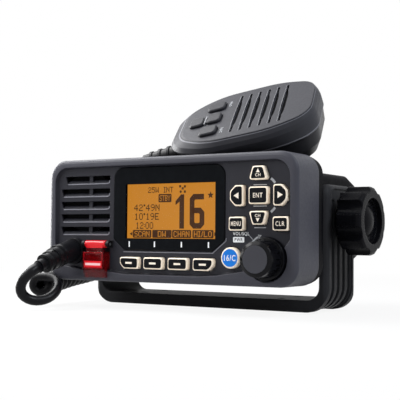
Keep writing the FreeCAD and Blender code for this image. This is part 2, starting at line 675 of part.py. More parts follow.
def front_board_outline():
    side, top = PANEL_WIDTH / 2 - SIDE_WALL - BOARD_EDGE, PANEL_HEIGHT / 2 - SIDE_WALL - BOARD_EDGE
    step, tab, shelf = SPEAKER_X + SPEAKER_R + 1.2, GLAND_X + GLAND_NUT_R + 1.2, SPEAKER_Z - SPEAKER_R - 1.5
    points = [(side, top), (step, top), (step, shelf), (tab, shelf), (tab, -top), (side, -top)]
    corner = PANEL_CORNER - SIDE_WALL
    return points, [corner, 1.0, 1.0, 1.0, 1.0, corner]


def front_board():
    board = prism(*front_board_outline(), on_panel, FRONT_BOARD_Y, FRONT_BOARD_Y + BOARD_THICK)
    cuts = [rod((x, 0, z), (0, 1, 0), SCREW_BOSS_R + LOOSE, PANEL_DEPTH) for x, z in screw_places()]
    opening = centred(ENCODER_SIZE + LOOSE, ENCODER_SIZE + LOOSE, DIAL_X, DIAL_Z)
    cuts.append(prism(opening, [0.3] * 4, on_panel, FRONT_BOARD_Y - 1, FRONT_BOARD_Y + BOARD_THICK + 1))
    return board.cut(cuts)


def key_mat():
    """A rubber sheet behind all the keys, seated on the front board."""
    start, end = FRONT_BOARD_Y - MAT_THICK, FRONT_BOARD_Y
    margin = KEY_FLANGE + 0.6
    pad_left = PAD_X - LOWER_KEY_X - LOWER_KEY_W / 2 - margin
    pad_right = PAD_X + LOWER_KEY_X + LOWER_KEY_W / 2
    pad_top = PAD_Z + ENTER_H / 2 + ARROW_GAP + ARROW_LONG + margin
    pad_low = DIAL_Z + ENCODER_FLANGE / 2 + LOOSE
    strip_top, strip_low = SOFT_KEY_Z + SOFT_KEY_H / 2 + margin, SOFT_KEY_Z - SOFT_KEY_H / 2 - margin
    neck = DIAL_X - ENCODER_FLANGE / 2 - LOOSE
    mat = block((pad_left, pad_right), (start, end), (pad_low, pad_top))
    mat = mat.fuse(block((pad_left, neck), (start, end), (strip_low, pad_top - margin)))
    mat = mat.fuse(block((COVER_X - BUTTON_W / 2 - margin, pad_left + 1), (start, end),
                         (strip_low, strip_top)))
    posts = [rod((x, 0, z), (0, 1, 0), POST_R + LOOSE, PANEL_DEPTH) for x, z in post_places()]
    bosses = [rod((x, 0, z), (0, 1, 0), SCREW_BOSS_R + LOOSE, PANEL_DEPTH) for x, z in screw_places()]
    mat = mat.common(prism(*panel_outline(SIDE_WALL + LOOSE), on_panel, start, end))
    return mat.cut(posts + bosses).removeSplitter()


def key(name):
    return capped(key_outlines()[name], FACE_Y - KEY_PROUD, KEY_TRAVEL)


def distress_button():
    return capped(button_outline(), FACE_Y - BUTTON_PROUD, BUTTON_TRAVEL)


def distress_cover():
    """A clear flip cover: a shallow box with a lifting lip, hung on a knuckle."""
    half, front = COVER_W / 2, FACE_Y - COVER_PROUD
    back = FACE_Y - LOOSE
    sides = (COVER_X - half, COVER_X + half)
    shell = block(sides, (front, back), (COVER_LEDGE, COVER_TOP))
    inside = (COVER_X - half + COVER_WALL, COVER_X + half - COVER_WALL)
    shell = shell.cut(block(inside, (front + COVER_WALL, back + 1),
                            (COVER_LEDGE + COVER_WALL, COVER_TOP - COVER_WALL)))
    lip_back = -RIM_RISE - LOOSE
    taper = COVER_LEDGE - COVER_LOW
    section = [V(sides[0], front, COVER_LEDGE), V(sides[0], lip_back, COVER_LEDGE),
               V(sides[0], lip_back, COVER_LOW), V(sides[0], front + taper * 0.45, COVER_LOW)]
    lip = Part.Face(Part.makePolygon(section + section[:1])).extrude(V(COVER_W, 0, 0))
    narrow = half - HINGE_EAR
    web = block((COVER_X - narrow, COVER_X + narrow),
                (HINGE_Y - HINGE_KNUCKLE_R, HINGE_Y - HINGE_KNUCKLE_R + HINGE_WEB),
                (COVER_TOP - COVER_WALL / 2, HINGE_Z))
    knuckle = rod((COVER_X - half + LOOSE, HINGE_Y, HINGE_Z), (1, 0, 0), HINGE_KNUCKLE_R,
                  COVER_W - 2 * LOOSE)
    bore = rod((COVER_X - COVER_W, HINGE_Y, HINGE_Z), (1, 0, 0), HINGE_PIN_R + RUNNING, 2 * COVER_W)
    return shell.fuse([lip, web, knuckle]).cut(bore).removeSplitter()


def distress_hinge_pin():
    half = COVER_W / 2 + LOOSE + HINGE_EAR
    return rod((COVER_X - half, HINGE_Y, HINGE_Z), (1, 0, 0), HINGE_PIN_R, 2 * half)


# ---------------------------------------------------------------- loudspeaker

def speaker_cloth():
    return rod((SPEAKER_X, FACE_BACK, SPEAKER_Z), (0, 1, 0), SPEAKER_R, CLOTH_THICK)


def speaker_frame():
    """An open basket: a rim against the cloth, tapering back to the magnet."""
    start = FACE_BACK + CLOTH_THICK
    at = (SPEAKER_X, start, SPEAKER_Z)
    throat = MAGNET_R + 1.0
    basket = rod(at, (0, 1, 0), SPEAKER_R, SPEAKER_RIM)
    slope = (SPEAKER_X, start + SPEAKER_RIM, SPEAKER_Z)
    basket = basket.fuse(cone(slope, (0, 1, 0), SPEAKER_R, throat, SPEAKER_DEEP - SPEAKER_RIM))
    hollow = cone(at, (0, 1, 0), SPEAKER_R - SPEAKER_RIM, throat - SPEAKER_RIM / 2, SPEAKER_DEEP - 1.2)
    return basket.cut(hollow)


def speaker_cone():
    """A paper cone that lies on the inside of its basket, with a dust cap."""
    start = FACE_BACK + CLOTH_THICK + RUNNING
    deep = SPEAKER_DEEP - 1.2 - 2 * RUNNING
    wide, narrow = SPEAKER_R - SPEAKER_RIM - 2 * RUNNING, MAGNET_R + 1.0 - SPEAKER_RIM / 2 - 2 * RUNNING
    paper = cone((SPEAKER_X, start, SPEAKER_Z), (0, 1, 0), wide, narrow, deep)
    front = cone((SPEAKER_X, start, SPEAKER_Z), (0, 1, 0), wide - CONE_THICK, narrow - CONE_THICK,
                 deep - CONE_THICK)
    return paper.cut(front)


def speaker_magnet():
    start = FACE_BACK + CLOTH_THICK + SPEAKER_DEEP
    return rod((SPEAKER_X, start, SPEAKER_Z), (0, 1, 0), MAGNET_R, MAGNET_LONG)


# ---------------------------------------------------------------- dial

def encoder():
    flange = centred(ENCODER_FLANGE, ENCODER_FLANGE, DIAL_X, DIAL_Z)
    seat = FRONT_BOARD_Y - 0.8
    body = prism(flange, [1.0] * 4, on_panel, seat, FRONT_BOARD_Y)
    can = centred(ENCODER_SIZE, ENCODER_SIZE, DIAL_X, DIAL_Z)
    body = body.fuse(prism(can, [0.6] * 4, on_panel, FRONT_BOARD_Y, ENCODER_BACK))
    body = body.fuse(rod((DIAL_X, FACE_Y, DIAL_Z), (0, 1, 0), BUSH_R, FRONT_BOARD_Y - FACE_Y))
    return body.cut(rod((DIAL_X, -1, DIAL_Z), (0, 1, 0), SHAFT_R + RUNNING, ENCODER_BACK))


def dial_shaft():
    front = FACE_Y - DIAL_PROUD + DIAL_CAP
    back = ENCODER_BACK - 1.0 - DIAL_PUSH - LOOSE
    return rod((DIAL_X, front, DIAL_Z), (0, 1, 0), SHAFT_R, back - front)


def dial_knob():
    """A skirt, a slightly tapered barrel with grip notches and a flat cap."""
    back = FACE_Y - DIAL_PUSH - LOOSE
    front = FACE_Y - DIAL_PROUD
    axis = (0, -1, 0)
    skirt = cone((DIAL_X, back, DIAL_Z), axis, DIAL_SKIRT_R, DIAL_SKIRT_R - 0.5, DIAL_SKIRT)
    barrel_long = back - DIAL_SKIRT - (front + DIAL_EDGE)
    barrel = cone((DIAL_X, back - DIAL_SKIRT, DIAL_Z), axis, DIAL_R, DIAL_FRONT_R, barrel_long)
    cap = cone((DIAL_X, front + DIAL_EDGE, DIAL_Z), axis, DIAL_FRONT_R, DIAL_CAP_R, DIAL_EDGE)
    grips = []
    for i in range(DIAL_GRIPS):
        angle = 2 * math.pi * i / DIAL_GRIPS
        x, z = DIAL_X + DIAL_R * math.cos(angle), DIAL_Z + DIAL_R * math.sin(angle)
        grips.append(rod((x, back - DIAL_SKIRT, z), axis, DIAL_GRIP_R, barrel_long))
    bore = rod((DIAL_X, back, DIAL_Z), axis, SHAFT_R + RUNNING, back - front - DIAL_CAP + RUNNING)
    return skirt.fuse([barrel, cap]).cut(grips + [bore])


# ---------------------------------------------------------------- gasket, chassis and inside

def panel_gasket():
    points, radii = panel_outline(GASKET_INSET)
    band = ring(points, radii, on_panel, PANEL_DEPTH, FLANGE_Y, GASKET_BAND)
    holes = [rod((x, PANEL_DEPTH - 1, z), (0, 1, 0), SCREW_R + RUNNING, GASKET_DEPTH + 2)
             for x, z in screw_places()]
    return band.cut(holes)


def chassis_section(height, inset, depth):
    """The chassis outline at a depth, moved in by an inset."""
    points = centred(CHASSIS_WIDTH - 2 * inset, height - 2 * inset)
    return rounded_wire(points, [CHASSIS_CORNER - inset * 0.5] * 4, on_panel, depth)


def tapered_box(start, inset, end_gap):
    """The chassis body: a straight box and then a taper, above and below."""
    fall = 2 * math.tan(math.radians(TAPER_ANGLE)) * TAPER_LENGTH
    near, far = CHASSIS_HEIGHT, CHASSIS_HEIGHT - fall * (TAPER_LENGTH - end_gap) / TAPER_LENGTH
    straight = Part.makeLoft([chassis_section(near, inset, start), chassis_section(near, inset, TAPER_Y)],
                             True, True)
    taper = Part.makeLoft([chassis_section(near, inset, TAPER_Y),
                           chassis_section(far, inset, REAR_Y - end_gap)], True, True)
    return straight.fuse(taper)


def fin_grooves():
    """Grooves along the taper, above and below, that leave cooling fins between them."""
    skin = tapered_box(CHASSIS_Y, 0.0, 0.0).cut(tapered_box(CHASSIS_Y, FIN_DEEP, 0.0))
    wide = FIN_PITCH - FIN_THICK
    bands = []
    for i in range(FIN_COUNT - 1):
        x = (i - (FIN_COUNT - 2) / 2) * FIN_PITCH
        bands.append(skin.common(block((x - wide / 2, x + wide / 2),
                                       (TAPER_Y + FIN_MARGIN, REAR_Y - FIN_MARGIN),
                                       (-CHASSIS_HEIGHT, CHASSIS_HEIGHT))))
    return bands


def main_posts():
    x, inside = MAIN_BOARD_W / 2 - MAIN_POST_IN, (MAIN_POST_FRONT, MAIN_BOARD_L - MAIN_POST_REAR)
    return [(sx * x, MAIN_BOARD_Y + along) for sx in (-1, 1) for along in inside]


def chassis():
    flange = prism(*panel_outline(FLANGE_INSET), on_panel, FLANGE_Y, CHASSIS_Y)
    body = flange.fuse(tapered_box(CHASSIS_Y, 0.0, 0.0))
    body = body.cut(tapered_box(FLANGE_Y, CHASSIS_WALL, CHASSIS_WALL))
    adds, cuts = [], fin_grooves()
    floor = -CHASSIS_HEIGHT / 2 + CHASSIS_WALL
    for x, y in main_posts():
        adds.append(rod((x, y, floor - 0.5), (0, 0, 1), MAIN_POST_R, MAIN_BOARD_Z - floor + 0.5))
    wall = CHASSIS_WIDTH / 2
    for side in (-1, 1):
        inner = side * (wall - CHASSIS_WALL - BOSS_LENGTH)
        adds.append(rod((inner, PIVOT_Y, 0), (side, 0, 0), BOSS_R, BOSS_LENGTH + 0.5))
        cuts.append(rod((inner, PIVOT_Y, 0), (side, 0, 0), INSERT_R + RUNNING,
                        BOSS_LENGTH + CHASSIS_WALL + 1))
    for x, z in screw_places():
        cuts.append(rod((x, FLANGE_Y - 1, z), (0, 1, 0), SCREW_R + RUNNING, FLANGE_DEPTH + 2))
    through = (CHASSIS_WALL + 2)
    cuts.append(rod((SOCKET_X, REAR_Y - through + 1, 0), (0, 1, 0), SOCKET_R + RUNNING, through))
    cuts.append(rod((GROMMET_X, REAR_Y - through + 1, 0), (0, 1, 0), GROMMET_R + RUNNING, through))
    body = body.fuse(adds).cut(cuts)
    return body.removeSplitter()


def chassis_screws():
    """Pan-head screws with cross slots."""
    screws = []
    start, half, reach = PANEL_DEPTH - SCREW_GRIP, SCREW_SLOT / 2, SCREW_SLOT_LONG / 2
    depth = (CHASSIS_Y + SCREW_HEAD / 2, CHASSIS_Y + 2 * SCREW_HEAD)
    for x, z in screw_places():
        shank = rod((x, start, z), (0, 1, 0), SCREW_R, CHASSIS_Y - start)
        head = rod((x, CHASSIS_Y, z), (0, 1, 0), SCREW_HEAD_R, SCREW_HEAD)
        level = block((x - reach, x + reach), depth, (z - half, z + half))
        upright = block((x - half, x + half), depth, (z - reach, z + reach))
        screws.append(shank.fuse(head).cut([level, upright]))
    return Part.makeCompound(screws)


def main_board():
    half, end = MAIN_BOARD_W / 2, MAIN_BOARD_Y + MAIN_BOARD_L
    return block((-half, half), (MAIN_BOARD_Y, end), (MAIN_BOARD_Z, MAIN_BOARD_Z + BOARD_THICK))


def rf_shield():
    """A thin sheet-metal can, open below, on the main board."""
    half, low = SHIELD_W / 2, MAIN_BOARD_Z + BOARD_THICK
    start = MAIN_BOARD_Y + (MAIN_BOARD_L - SHIELD_L) / 2
    can = block((-half, half), (start, start + SHIELD_L), (low, low + SHIELD_H))
    inside = block((-half + SHIELD_WALL, half - SHIELD_WALL),
                   (start + SHIELD_WALL, start + SHIELD_L - SHIELD_WALL),
                   (low - 1, low + SHIELD_H - SHIELD_WALL))
    return can.cut(inside)


def power_module():
    """The transmitter's output stage, flat against the rear wall, which cools it."""
    back = REAR_Y - CHASSIS_WALL
    return block((-MODULE_W / 2, MODULE_W / 2), (back - MODULE_L, back), (-MODULE_H / 2, MODULE_H / 2))


def antenna_socket():
    """A threaded coaxial socket with a flange on the rear wall and a centre contact."""
    inside = REAR_Y - CHASSIS_WALL - 2.0
    body = rod((SOCKET_X, inside, 0), (0, 1, 0), SOCKET_R, REAR_Y + SOCKET_LONG - inside)
    body = body.fuse(rod((SOCKET_X, REAR_Y, 0), (0, 1, 0), SOCKET_FLANGE_R, SOCKET_FLANGE))
    mouth = rod((SOCKET_X, REAR_Y + 1, 0), (0, 1, 0), SOCKET_BORE_R, SOCKET_LONG)
    contact = rod((SOCKET_X, REAR_Y, 0), (0, 1, 0), SOCKET_PIN_R + SOCKET_PIN_WALL, SOCKET_LONG - 3)
    pin_hole = rod((SOCKET_X, REAR_Y + 2, 0), (0, 1, 0), SOCKET_PIN_R, SOCKET_LONG)
    return body.cut(mouth).fuse(contact).cut(pin_hole)


def lead_grommet():
    """A rubber bush in the rear wall, for the supply and accessory leads."""
    inside = REAR_Y - CHASSIS_WALL
    flared = GROMMET_R + GROMMET_FLARE
    body = rod((GROMMET_X, inside - GROMMET_LIP, 0), (0, 1, 0), flared, GROMMET_LIP)
    body = body.fuse(rod((GROMMET_X, inside, 0), (0, 1, 0), GROMMET_R, CHASSIS_WALL))
    body = body.fuse(cone((GROMMET_X, REAR_Y, 0), (0, 1, 0), flared, GROMMET_R, 2 * GROMMET_LIP))
    return body.cut(rod((GROMMET_X, inside - 2 * GROMMET_LIP, 0), (0, 1, 0), GROMMET_BORE_R,
                        CHASSIS_WALL + 5 * GROMMET_LIP))


def clamp_inserts():
    start = CHASSIS_WIDTH / 2 - CHASSIS_WALL - BOSS_LENGTH
    pair = []
    for side in (-1, 1):
        long = CHASSIS_WALL + BOSS_LENGTH
        outer = rod((side * start, PIVOT_Y, 0), (side, 0, 0), INSERT_R, long)
        pair.append(outer.cut(rod((side * start, PIVOT_Y, 0), (side, 0, 0), BOLT_R + RUNNING, long)))
    return Part.makeCompound(pair)


def clamp_washers():
    start = CHASSIS_WIDTH / 2
    pair = []
    for side in (-1, 1):
        disc = rod((side * start, PIVOT_Y, 0), (side, 0, 0), WASHER_R, WASHER_THICK)
        pair.append(disc.cut(rod((side * start, PIVOT_Y, 0), (side, 0, 0), BOLT_R + LOOSE, WASHER_THICK)))
    return Part.makeCompound(pair)


# ---------------------------------------------------------------- bracket and clamp knobs

def u_profile(outside, start, end, corner):
    """A U of the bracket's bend, filled to the top, as seen from the front, moved in by outside."""
    half, low = ARM_OUT - outside, -PIVOT_HEIGHT + (BAR_THICK / ARM_THICK * outside)
    top = BRACKET_DEPTH
    points = [(-half, low), (half, low), (half, top), (-half, top)]
    return prism(points, [corner, corner, 1.0, 1.0], on_panel, start, end)


def across(a, b, depth):
    """A point drawn on the bracket's side, y and z, at a distance x."""
    return V(depth, a, b)


def side_profile(side):
    """The outline of both arms from the side, rounded off towards their outer faces."""
    front, back = PIVOT_Y - BRACKET_DEPTH / 2, PIVOT_Y + BRACKET_DEPTH / 2
    points = rectangle((front, back), (-2 * PIVOT_HEIGHT, ARM_TOP))
    radii = [1.0, 1.0, ARM_CORNER, ARM_CORNER]
    steps = [(side * (ARM_OUT - deep), inset) for deep, inset in ARM_ROUND] + [(0.0, 0.0)]
    return lofted(points, radii, across, steps)


def bend_skin(deep):
    """The outer layer of both arms and bends, down to a depth."""
    front, back = PIVOT_Y - BRACKET_DEPTH / 2, PIVOT_Y + BRACKET_DEPTH / 2
    skin = u_profile(-1.0, front, back, BEND_OUTER).cut(u_profile(deep, front, back, BEND_OUTER))
    middle = (-ARM_OUT + GROOVE_END, ARM_OUT - GROOVE_END)
    return skin.cut(block(middle, (front, back), (-2 * PIVOT_HEIGHT, ARM_TOP)))


def arm_recess():
    """The shallow panels inside the rims of the arms, which run on round the bends."""
    front, back = PIVOT_Y - BRACKET_DEPTH / 2, PIVOT_Y + BRACKET_DEPTH / 2
    points = rectangle((front + ARM_RIM, back - ARM_RIM), (-2 * PIVOT_HEIGHT, ARM_TOP - ARM_RIM / 2))
    corner = ARM_CORNER - ARM_RIM / 2
    band = prism(points, [1.0, 1.0, corner, corner], across, -2 * ARM_OUT, 2 * ARM_OUT)
    return bend_skin(ARM_RECESS).common(band)


def bracket():
    front, back = PIVOT_Y - BRACKET_DEPTH / 2, PIVOT_Y + BRACKET_DEPTH / 2
    strap = u_profile(0.0, front, back, BEND_OUTER)
    strap = strap.cut(u_profile(ARM_THICK, front - 1, back + 1, BEND_INNER))
    strap = strap.common(side_profile(1).fuse(side_profile(-1)))
    cuts = [arm_recess()]
    for side in (-1, 1):
        cuts.append(rod((side * (ARM_OUT - 2 * ARM_RECESS), PIVOT_Y, DIMPLE_Z), (side, 0, 0), DIMPLE_R, 2))
    skin = bend_skin(GROOVE_DEEP)
    for i in range(GROOVE_COUNT):
        y = PIVOT_Y + (i - (GROOVE_COUNT - 1) / 2) * GROOVE_PITCH
        band = block((-2 * ARM_OUT, 2 * ARM_OUT), (y - GROOVE_WIDTH / 2, y + GROOVE_WIDTH / 2),
                     (-2 * PIVOT_HEIGHT, GROOVE_TOP))
        cuts.append(skin.common(band))
    cuts.append(rod((-2 * ARM_OUT, PIVOT_Y, 0), (1, 0, 0), PIVOT_HOLE_R, 4 * ARM_OUT))
    for sx in (-1, 1):
        for sy in (-1, 1):
            at = (sx * BASE_HOLE_X / 2, PIVOT_Y + sy * BASE_HOLE_Y / 2, -PIVOT_HEIGHT - 1)
            cuts.append(rod(at, (0, 0, 1), BASE_HOLE_R, BAR_THICK + 3))
    return strap.cut(cuts).removeSplitter()


def clamp_knob(side):
    """A lobed hand knob on a short hub, with rounded edges, a dished end and a domed middle."""
    start = ARM_OUT + LOOSE
    grip, end = start + KNOB_HUB, start + KNOB_HUB + KNOB_LENGTH
    out = (side, 0, 0)
    body = rod((side * start, PIVOT_Y, 0), out, KNOB_HUB_R, KNOB_HUB + 1)
    steps = [(grip, KNOB_EDGE / 2), (grip + KNOB_EDGE / 2, 0.0), (end - KNOB_EDGE, 0.0),
             (end - KNOB_EDGE * 0.35, KNOB_EDGE * 0.3), (end, KNOB_EDGE)]
    for (near, inset), (far, next_inset) in zip(steps, steps[1:]):
        at = (side * near, PIVOT_Y, 0)
        if inset == next_inset:
            body = body.fuse(rod(at, out, KNOB_R, far - near))
        else:
            body = body.fuse(cone(at, out, KNOB_R - inset, KNOB_R - next_inset, far - near))
    floor = end - KNOB_DISH
    body = body.cut(rod((side * floor, PIVOT_Y, 0), out, KNOB_DISH_R, KNOB_DISH + 1))
    ball = (KNOB_DOME_R ** 2 + KNOB_DOME ** 2) / (2 * KNOB_DOME)
    dome = Part.makeSphere(ball, V(side * (floor + KNOB_DOME - ball), PIVOT_Y, 0))
    body = body.fuse(dome.common(rod((side * floor, PIVOT_Y, 0), out, KNOB_DOME_R, KNOB_DOME + 1)))
    cuts = []
    for i in range(KNOB_LOBES):
        angle = 2 * math.pi * (i + 0.5) / KNOB_LOBES
        reach = KNOB_R + LOBE_CUT_R - LOBE_CUT_REACH
        at = (side * (grip - 1), PIVOT_Y + reach * math.cos(angle), reach * math.sin(angle))
        cuts.append(rod(at, out, LOBE_CUT_R, KNOB_LENGTH + 2))
    cuts.append(rod((side * start, PIVOT_Y, 0), out, BOLT_R + RUNNING, BOLT_IN_KNOB + RUNNING))
    return body.cut(cuts)


def clamp_bolt(side):
    start = CHASSIS_WIDTH / 2 - BOLT_IN_CHASSIS
    end = ARM_OUT + LOOSE + BOLT_IN_KNOB
    return rod((side * start, PIVOT_Y, 0), (side, 0, 0), BOLT_R, end - start)


# ---------------------------------------------------------------- strain relief on the panel

def tapered_between(start, end, radius, end_radius):
    a, b = V(*start), V(*end)
    return Part.makeCone(radius, end_radius, (b - a).Length, a, b - a)


def relief_axis():
    return (V(*RELIEF_END) - V(*RELIEF_BEND)).normalize()


def cord_gland():
    """A flanged gland with a ribbed, bent strain relief and a plain sleeve round the cord."""
    base = (GLAND_X, FACE_Y - GLAND_BASE, GLAND_Z)
    body = rod(base, (0, 1, 0), GLAND_R, GLAND_BASE)
    body = body.fuse(rod((GLAND_X, FACE_Y, GLAND_Z), (0, 1, 0), GLAND_STEM_R, FACE_WALL + GLAND_NUT))
    body = body.fuse(rod((GLAND_X, FACE_BACK, GLAND_Z), (0, 1, 0), GLAND_NUT_R, GLAND_NUT))
    body = body.fuse(tapered_between(base, RELIEF_BEND, RELIEF_R[0], RELIEF_R[1]))
    body = body.fuse(Part.makeSphere(RELIEF_R[1], V(*RELIEF_BEND)))
    body = body.fuse(tapered_between(RELIEF_BEND, RELIEF_END, RELIEF_R[1], RELIEF_R[2]))
    along, far = relief_axis(), (V(*RELIEF_END) - V(*RELIEF_BEND)).Length
    for i in range(RELIEF_RIBS):
        share = (i + 0.5) / RELIEF_RIBS
        radius = RELIEF_R[1] + (RELIEF_R[2] - RELIEF_R[1]) * share + RELIEF_RIB
        at = V(*RELIEF_BEND) + along * (far * share)
        body = body.fuse(Part.makeCylinder(radius, RELIEF_RIB_W, at, along))
    body = body.fuse(Part.makeCylinder(SLEEVE_R, SLEEVE_LONG + 1, V(*RELIEF_END) - along, along))
    return body


# ---------------------------------------------------------------- microphone

def mic_outline(half=MIC_SEAM_OUTLINE):
    """A whole outline and its roundings from half of one."""
    upper = [(u, v) for u, v, _ in half]
    lower = [(u, -v) for u, v in reversed(upper)]
    radii = [radius for _, _, radius in half]
    return upper + lower, radii + radii[::-1]


def mic_between(a, b, share):
    """Half an outline between two others."""
    return [tuple(p + (q - p) * share for p, q in zip(*pair)) for pair in zip(a, b)]


def mic_loft(sections):
    """A solid through half outlines at their heights."""
    wires = []
    for height, half in sections:
        points, radii = mic_outline(half)
        wires.append(rounded_wire(points, radii, on_mic, height))
    return Part.makeLoft(wires, True, True)


def mic_front_sections():
    """From the seam out to the girth, and in again to the face."""
    sections = [(-MIC_SEAM, MIC_SEAM_OUTLINE)]
    for share in MIC_FRONT_STEPS:
        height = -MIC_SEAM + (MIC_SEAM - MIC_GIRTH) * share
        bulge = math.sin(math.radians(90 * share))
        sections.append((height, mic_between(MIC_SEAM_OUTLINE, MIC_WIDE_OUTLINE, bulge)))
    sections.append((-MIC_GIRTH, MIC_WIDE_OUTLINE))
    for share, inward in MIC_FACE_STEPS:
        sections.append((MIC_GIRTH * (share - 1), mic_between(MIC_WIDE_OUTLINE, MIC_FACE_OUTLINE, inward)))
    return sections + [(0.0, MIC_FACE_OUTLINE)]


def mic_placement():
    turn = FreeCAD.Rotation(MIC_HEADING, -MIC_RISE, MIC_TILT)
    return FreeCAD.Placement(V(*MIC_AT), turn)


def placed_on_mic(shape):
    shape.Placement = mic_placement()
    return shape


def mic_posts(start, end, radius):
    return [rod((u, v, start), (0, 0, 1), radius, end - start) for u, v in MIC_SCREWS]


def mic_key_outline(name, grow=0.0):
    u, v, long, wide = MIC_KEYS[name]
    return grown(centred(long, wide, u, v), grow), [MIC_KEY_CORNER + grow] * 4


def mic_slots():
    cuts = []
    for i in range(MIC_SLOTS):
        u = (i - (MIC_SLOTS - 1) / 2) * MIC_SLOT_PITCH
        groove = centred(MIC_SLOT_W, MIC_SLOT_LONG, u, 0.0)
        cuts.append(prism(groove, [MIC_SLOT_W / 2.1] * 4, on_mic, -MIC_SLOT_DEEP, 1.0))
        slit = centred(MIC_SLIT_W, MIC_SLIT_LONG, u, 0.0)
        cuts.append(prism(slit, [MIC_SLIT_W / 2.1] * 4, on_mic, -MIC_WALL - 1, 1.0))
    return cuts


def ptt_pocket():
    """What the press-to-talk bar sweeps as it goes in, with its clearance."""
    radii = [r + LOOSE for r in PTT_CORNERS]
    out = prism(grown(PTT, LOOSE), radii, on_mic, PTT_LOW - LOOSE, PTT_HIGH + LOOSE)
    pressed = out.copy()
    pressed.translate(V(0, -PTT_TRAVEL, 0))
    return out.fuse(pressed)


def mic_front_shell():
    points, radii = mic_outline()
    shell = mic_loft(mic_front_sections())
    smaller = [r - MIC_HOLLOW_IN for r in radii]
    hollow = prism(grown(points, -MIC_HOLLOW_IN), smaller, on_mic, -MIC_SEAM - 1, -MIC_WALL)
    shell = shell.cut(hollow).fuse(mic_posts(-MIC_SEAM, -MIC_WALL, MIC_POST_R))
    cuts = mic_slots() + mic_posts(-MIC_SEAM - 1, -MIC_WALL - 1, MIC_SCREW_R + RUNNING)
    for name in MIC_KEYS:
        cuts.append(prism(*mic_key_outline(name, LOOSE), on_mic, -MIC_WALL - 1, 1.0))
        pocket = mic_key_outline(name, MIC_KEY_FLANGE + LOOSE)
        low = -MIC_WALL - MIC_KEY_FLANGE - MIC_KEY_TRAVEL - 2 * LOOSE
        cuts.append(prism(*pocket, on_mic, low, -MIC_WALL))
    cuts.append(rod(mic_boot_start(), (-1, 0, 0), MIC_BOOT_R[0] + RUNNING, MIC_BOOT_LONG))
    cuts.append(ptt_pocket())
    return placed_on_mic(shell.cut(cuts))


def mic_back_cut():
    """A wedge that thins the back towards the cord end."""
    deep, wide, end = MIC_THICK + MIC_WALL, 2 * MIC_HALF, MIC_END_U - MIC_WALL
    points = [V(end, -wide, -MIC_THICK + MIC_END_THIN), V(MIC_THIN_U, -wide, -MIC_THICK),
              V(MIC_THIN_U, -wide, -deep), V(end, -wide, -deep)]
    return Part.Face(Part.makePolygon(points + points[:1])).extrude(V(0, 2 * wide, 0))


def mic_rear_shell():
    points, radii = mic_outline()
    steps = [(-MIC_SEAM, 0.0)] + [(-MIC_THICK * share, inset) for share, inset in MIC_BACK_STEPS]
    shell = lofted(points, radii, on_mic, steps + [(-MIC_THICK, MIC_BACK_INSET)]).cut(mic_back_cut())
    hollow = prism(grown(points, -MIC_BACK_HOLLOW_IN), [r - MIC_BACK_HOLLOW_IN for r in radii], on_mic,
                   -MIC_THICK + MIC_WALL, -MIC_SEAM + 1)
    lifted = mic_back_cut()
    lifted.translate(V(0, 0, MIC_WALL))
    shell = shell.cut(hollow.cut(lifted))
    shell = shell.fuse(mic_posts(MIC_SCREW_N, -MIC_SEAM, MIC_POST_R + 0.6))
    cuts = mic_posts(-MIC_THICK - 5, MIC_SCREW_N, MIC_SCREW_HEAD_R + LOOSE)
    sleeves = mic_posts(-MIC_THICK + 0.5, MIC_SCREW_N, MIC_POST_R + 0.6)
    shell = shell.fuse([s.cut(lifted) for s in sleeves]).cut(cuts)
    shell = shell.cut(mic_posts(MIC_SCREW_N - 1, -MIC_SEAM + 1, MIC_SCREW_R + RUNNING))
    shell = shell.cut(rod(mic_boot_start(), (-1, 0, 0), MIC_BOOT_R[0] + RUNNING, MIC_BOOT_LONG))
    return placed_on_mic(shell.cut(ptt_pocket()))


def mic_boot_start():
    return (MIC_END_U + MIC_BOOT_IN, MIC_BOOT_V, MIC_BOOT_N)


def mic_screws():
    screws = []
    for u, v in MIC_SCREWS:
        shank = rod((u, v, MIC_SCREW_N), (0, 0, 1), MIC_SCREW_R, -MIC_WALL - 2 - MIC_SCREW_N)
        head = rod((u, v, MIC_SCREW_N - MIC_SCREW_HEAD), (0, 0, 1), MIC_SCREW_HEAD_R, MIC_SCREW_HEAD)
        screws.append(placed_on_mic(shank.fuse(head)))
    return Part.makeCompound(screws)


def mic_hanger_stud():
    """The button on the back by which the microphone hangs in a clip."""
    neck = rod((STUD_U, STUD_V, -MIC_THICK - STUD_LONG + STUD_DISC), (0, 0, 1), STUD_NECK_R,
               STUD_LONG - STUD_DISC)
    disc = rod((STUD_U, STUD_V, -MIC_THICK - STUD_LONG), (0, 0, 1), STUD_R, STUD_DISC)
    return placed_on_mic(neck.fuse(disc))


def mic_boot():
    """A ribbed tapered strain relief at the microphone's cord end."""
    start = mic_boot_start()
    long = MIC_BOOT_LONG + MIC_BOOT_IN
    body = cone(start, (-1, 0, 0), MIC_BOOT_R[0], MIC_BOOT_R[1], long)
    for i in range(MIC_BOOT_RIBS):
        share = MIC_BOOT_FIRST_RIB + MIC_BOOT_RIB_PITCH * i
        radius = MIC_BOOT_R[0] + (MIC_BOOT_R[1] - MIC_BOOT_R[0]) * share + RELIEF_RIB
        at = (start[0] - long * share, start[1], start[2])
        body = body.fuse(rod(at, (-1, 0, 0), radius, RELIEF_RIB_W))
    return placed_on_mic(body)


def mic_board():
    points, radii = mic_outline()
    smaller = [r - MIC_BOARD_IN for r in radii]
    board = prism(grown(points, -MIC_BOARD_IN), smaller, on_mic, MIC_BOARD_N - BOARD_THICK, MIC_BOARD_N)
    cuts = mic_posts(-MIC_SEAM, 0, MIC_POST_R + LOOSE)
    beside = (PTT[-1][1] - PTT_TRAVEL - 1, MIC_HALF)
    cuts.append(block((PTT[0][0] - 2, PTT[-1][0] + 2), beside, (-MIC_SEAM, 0)))
    return placed_on_mic(board.cut(cuts))


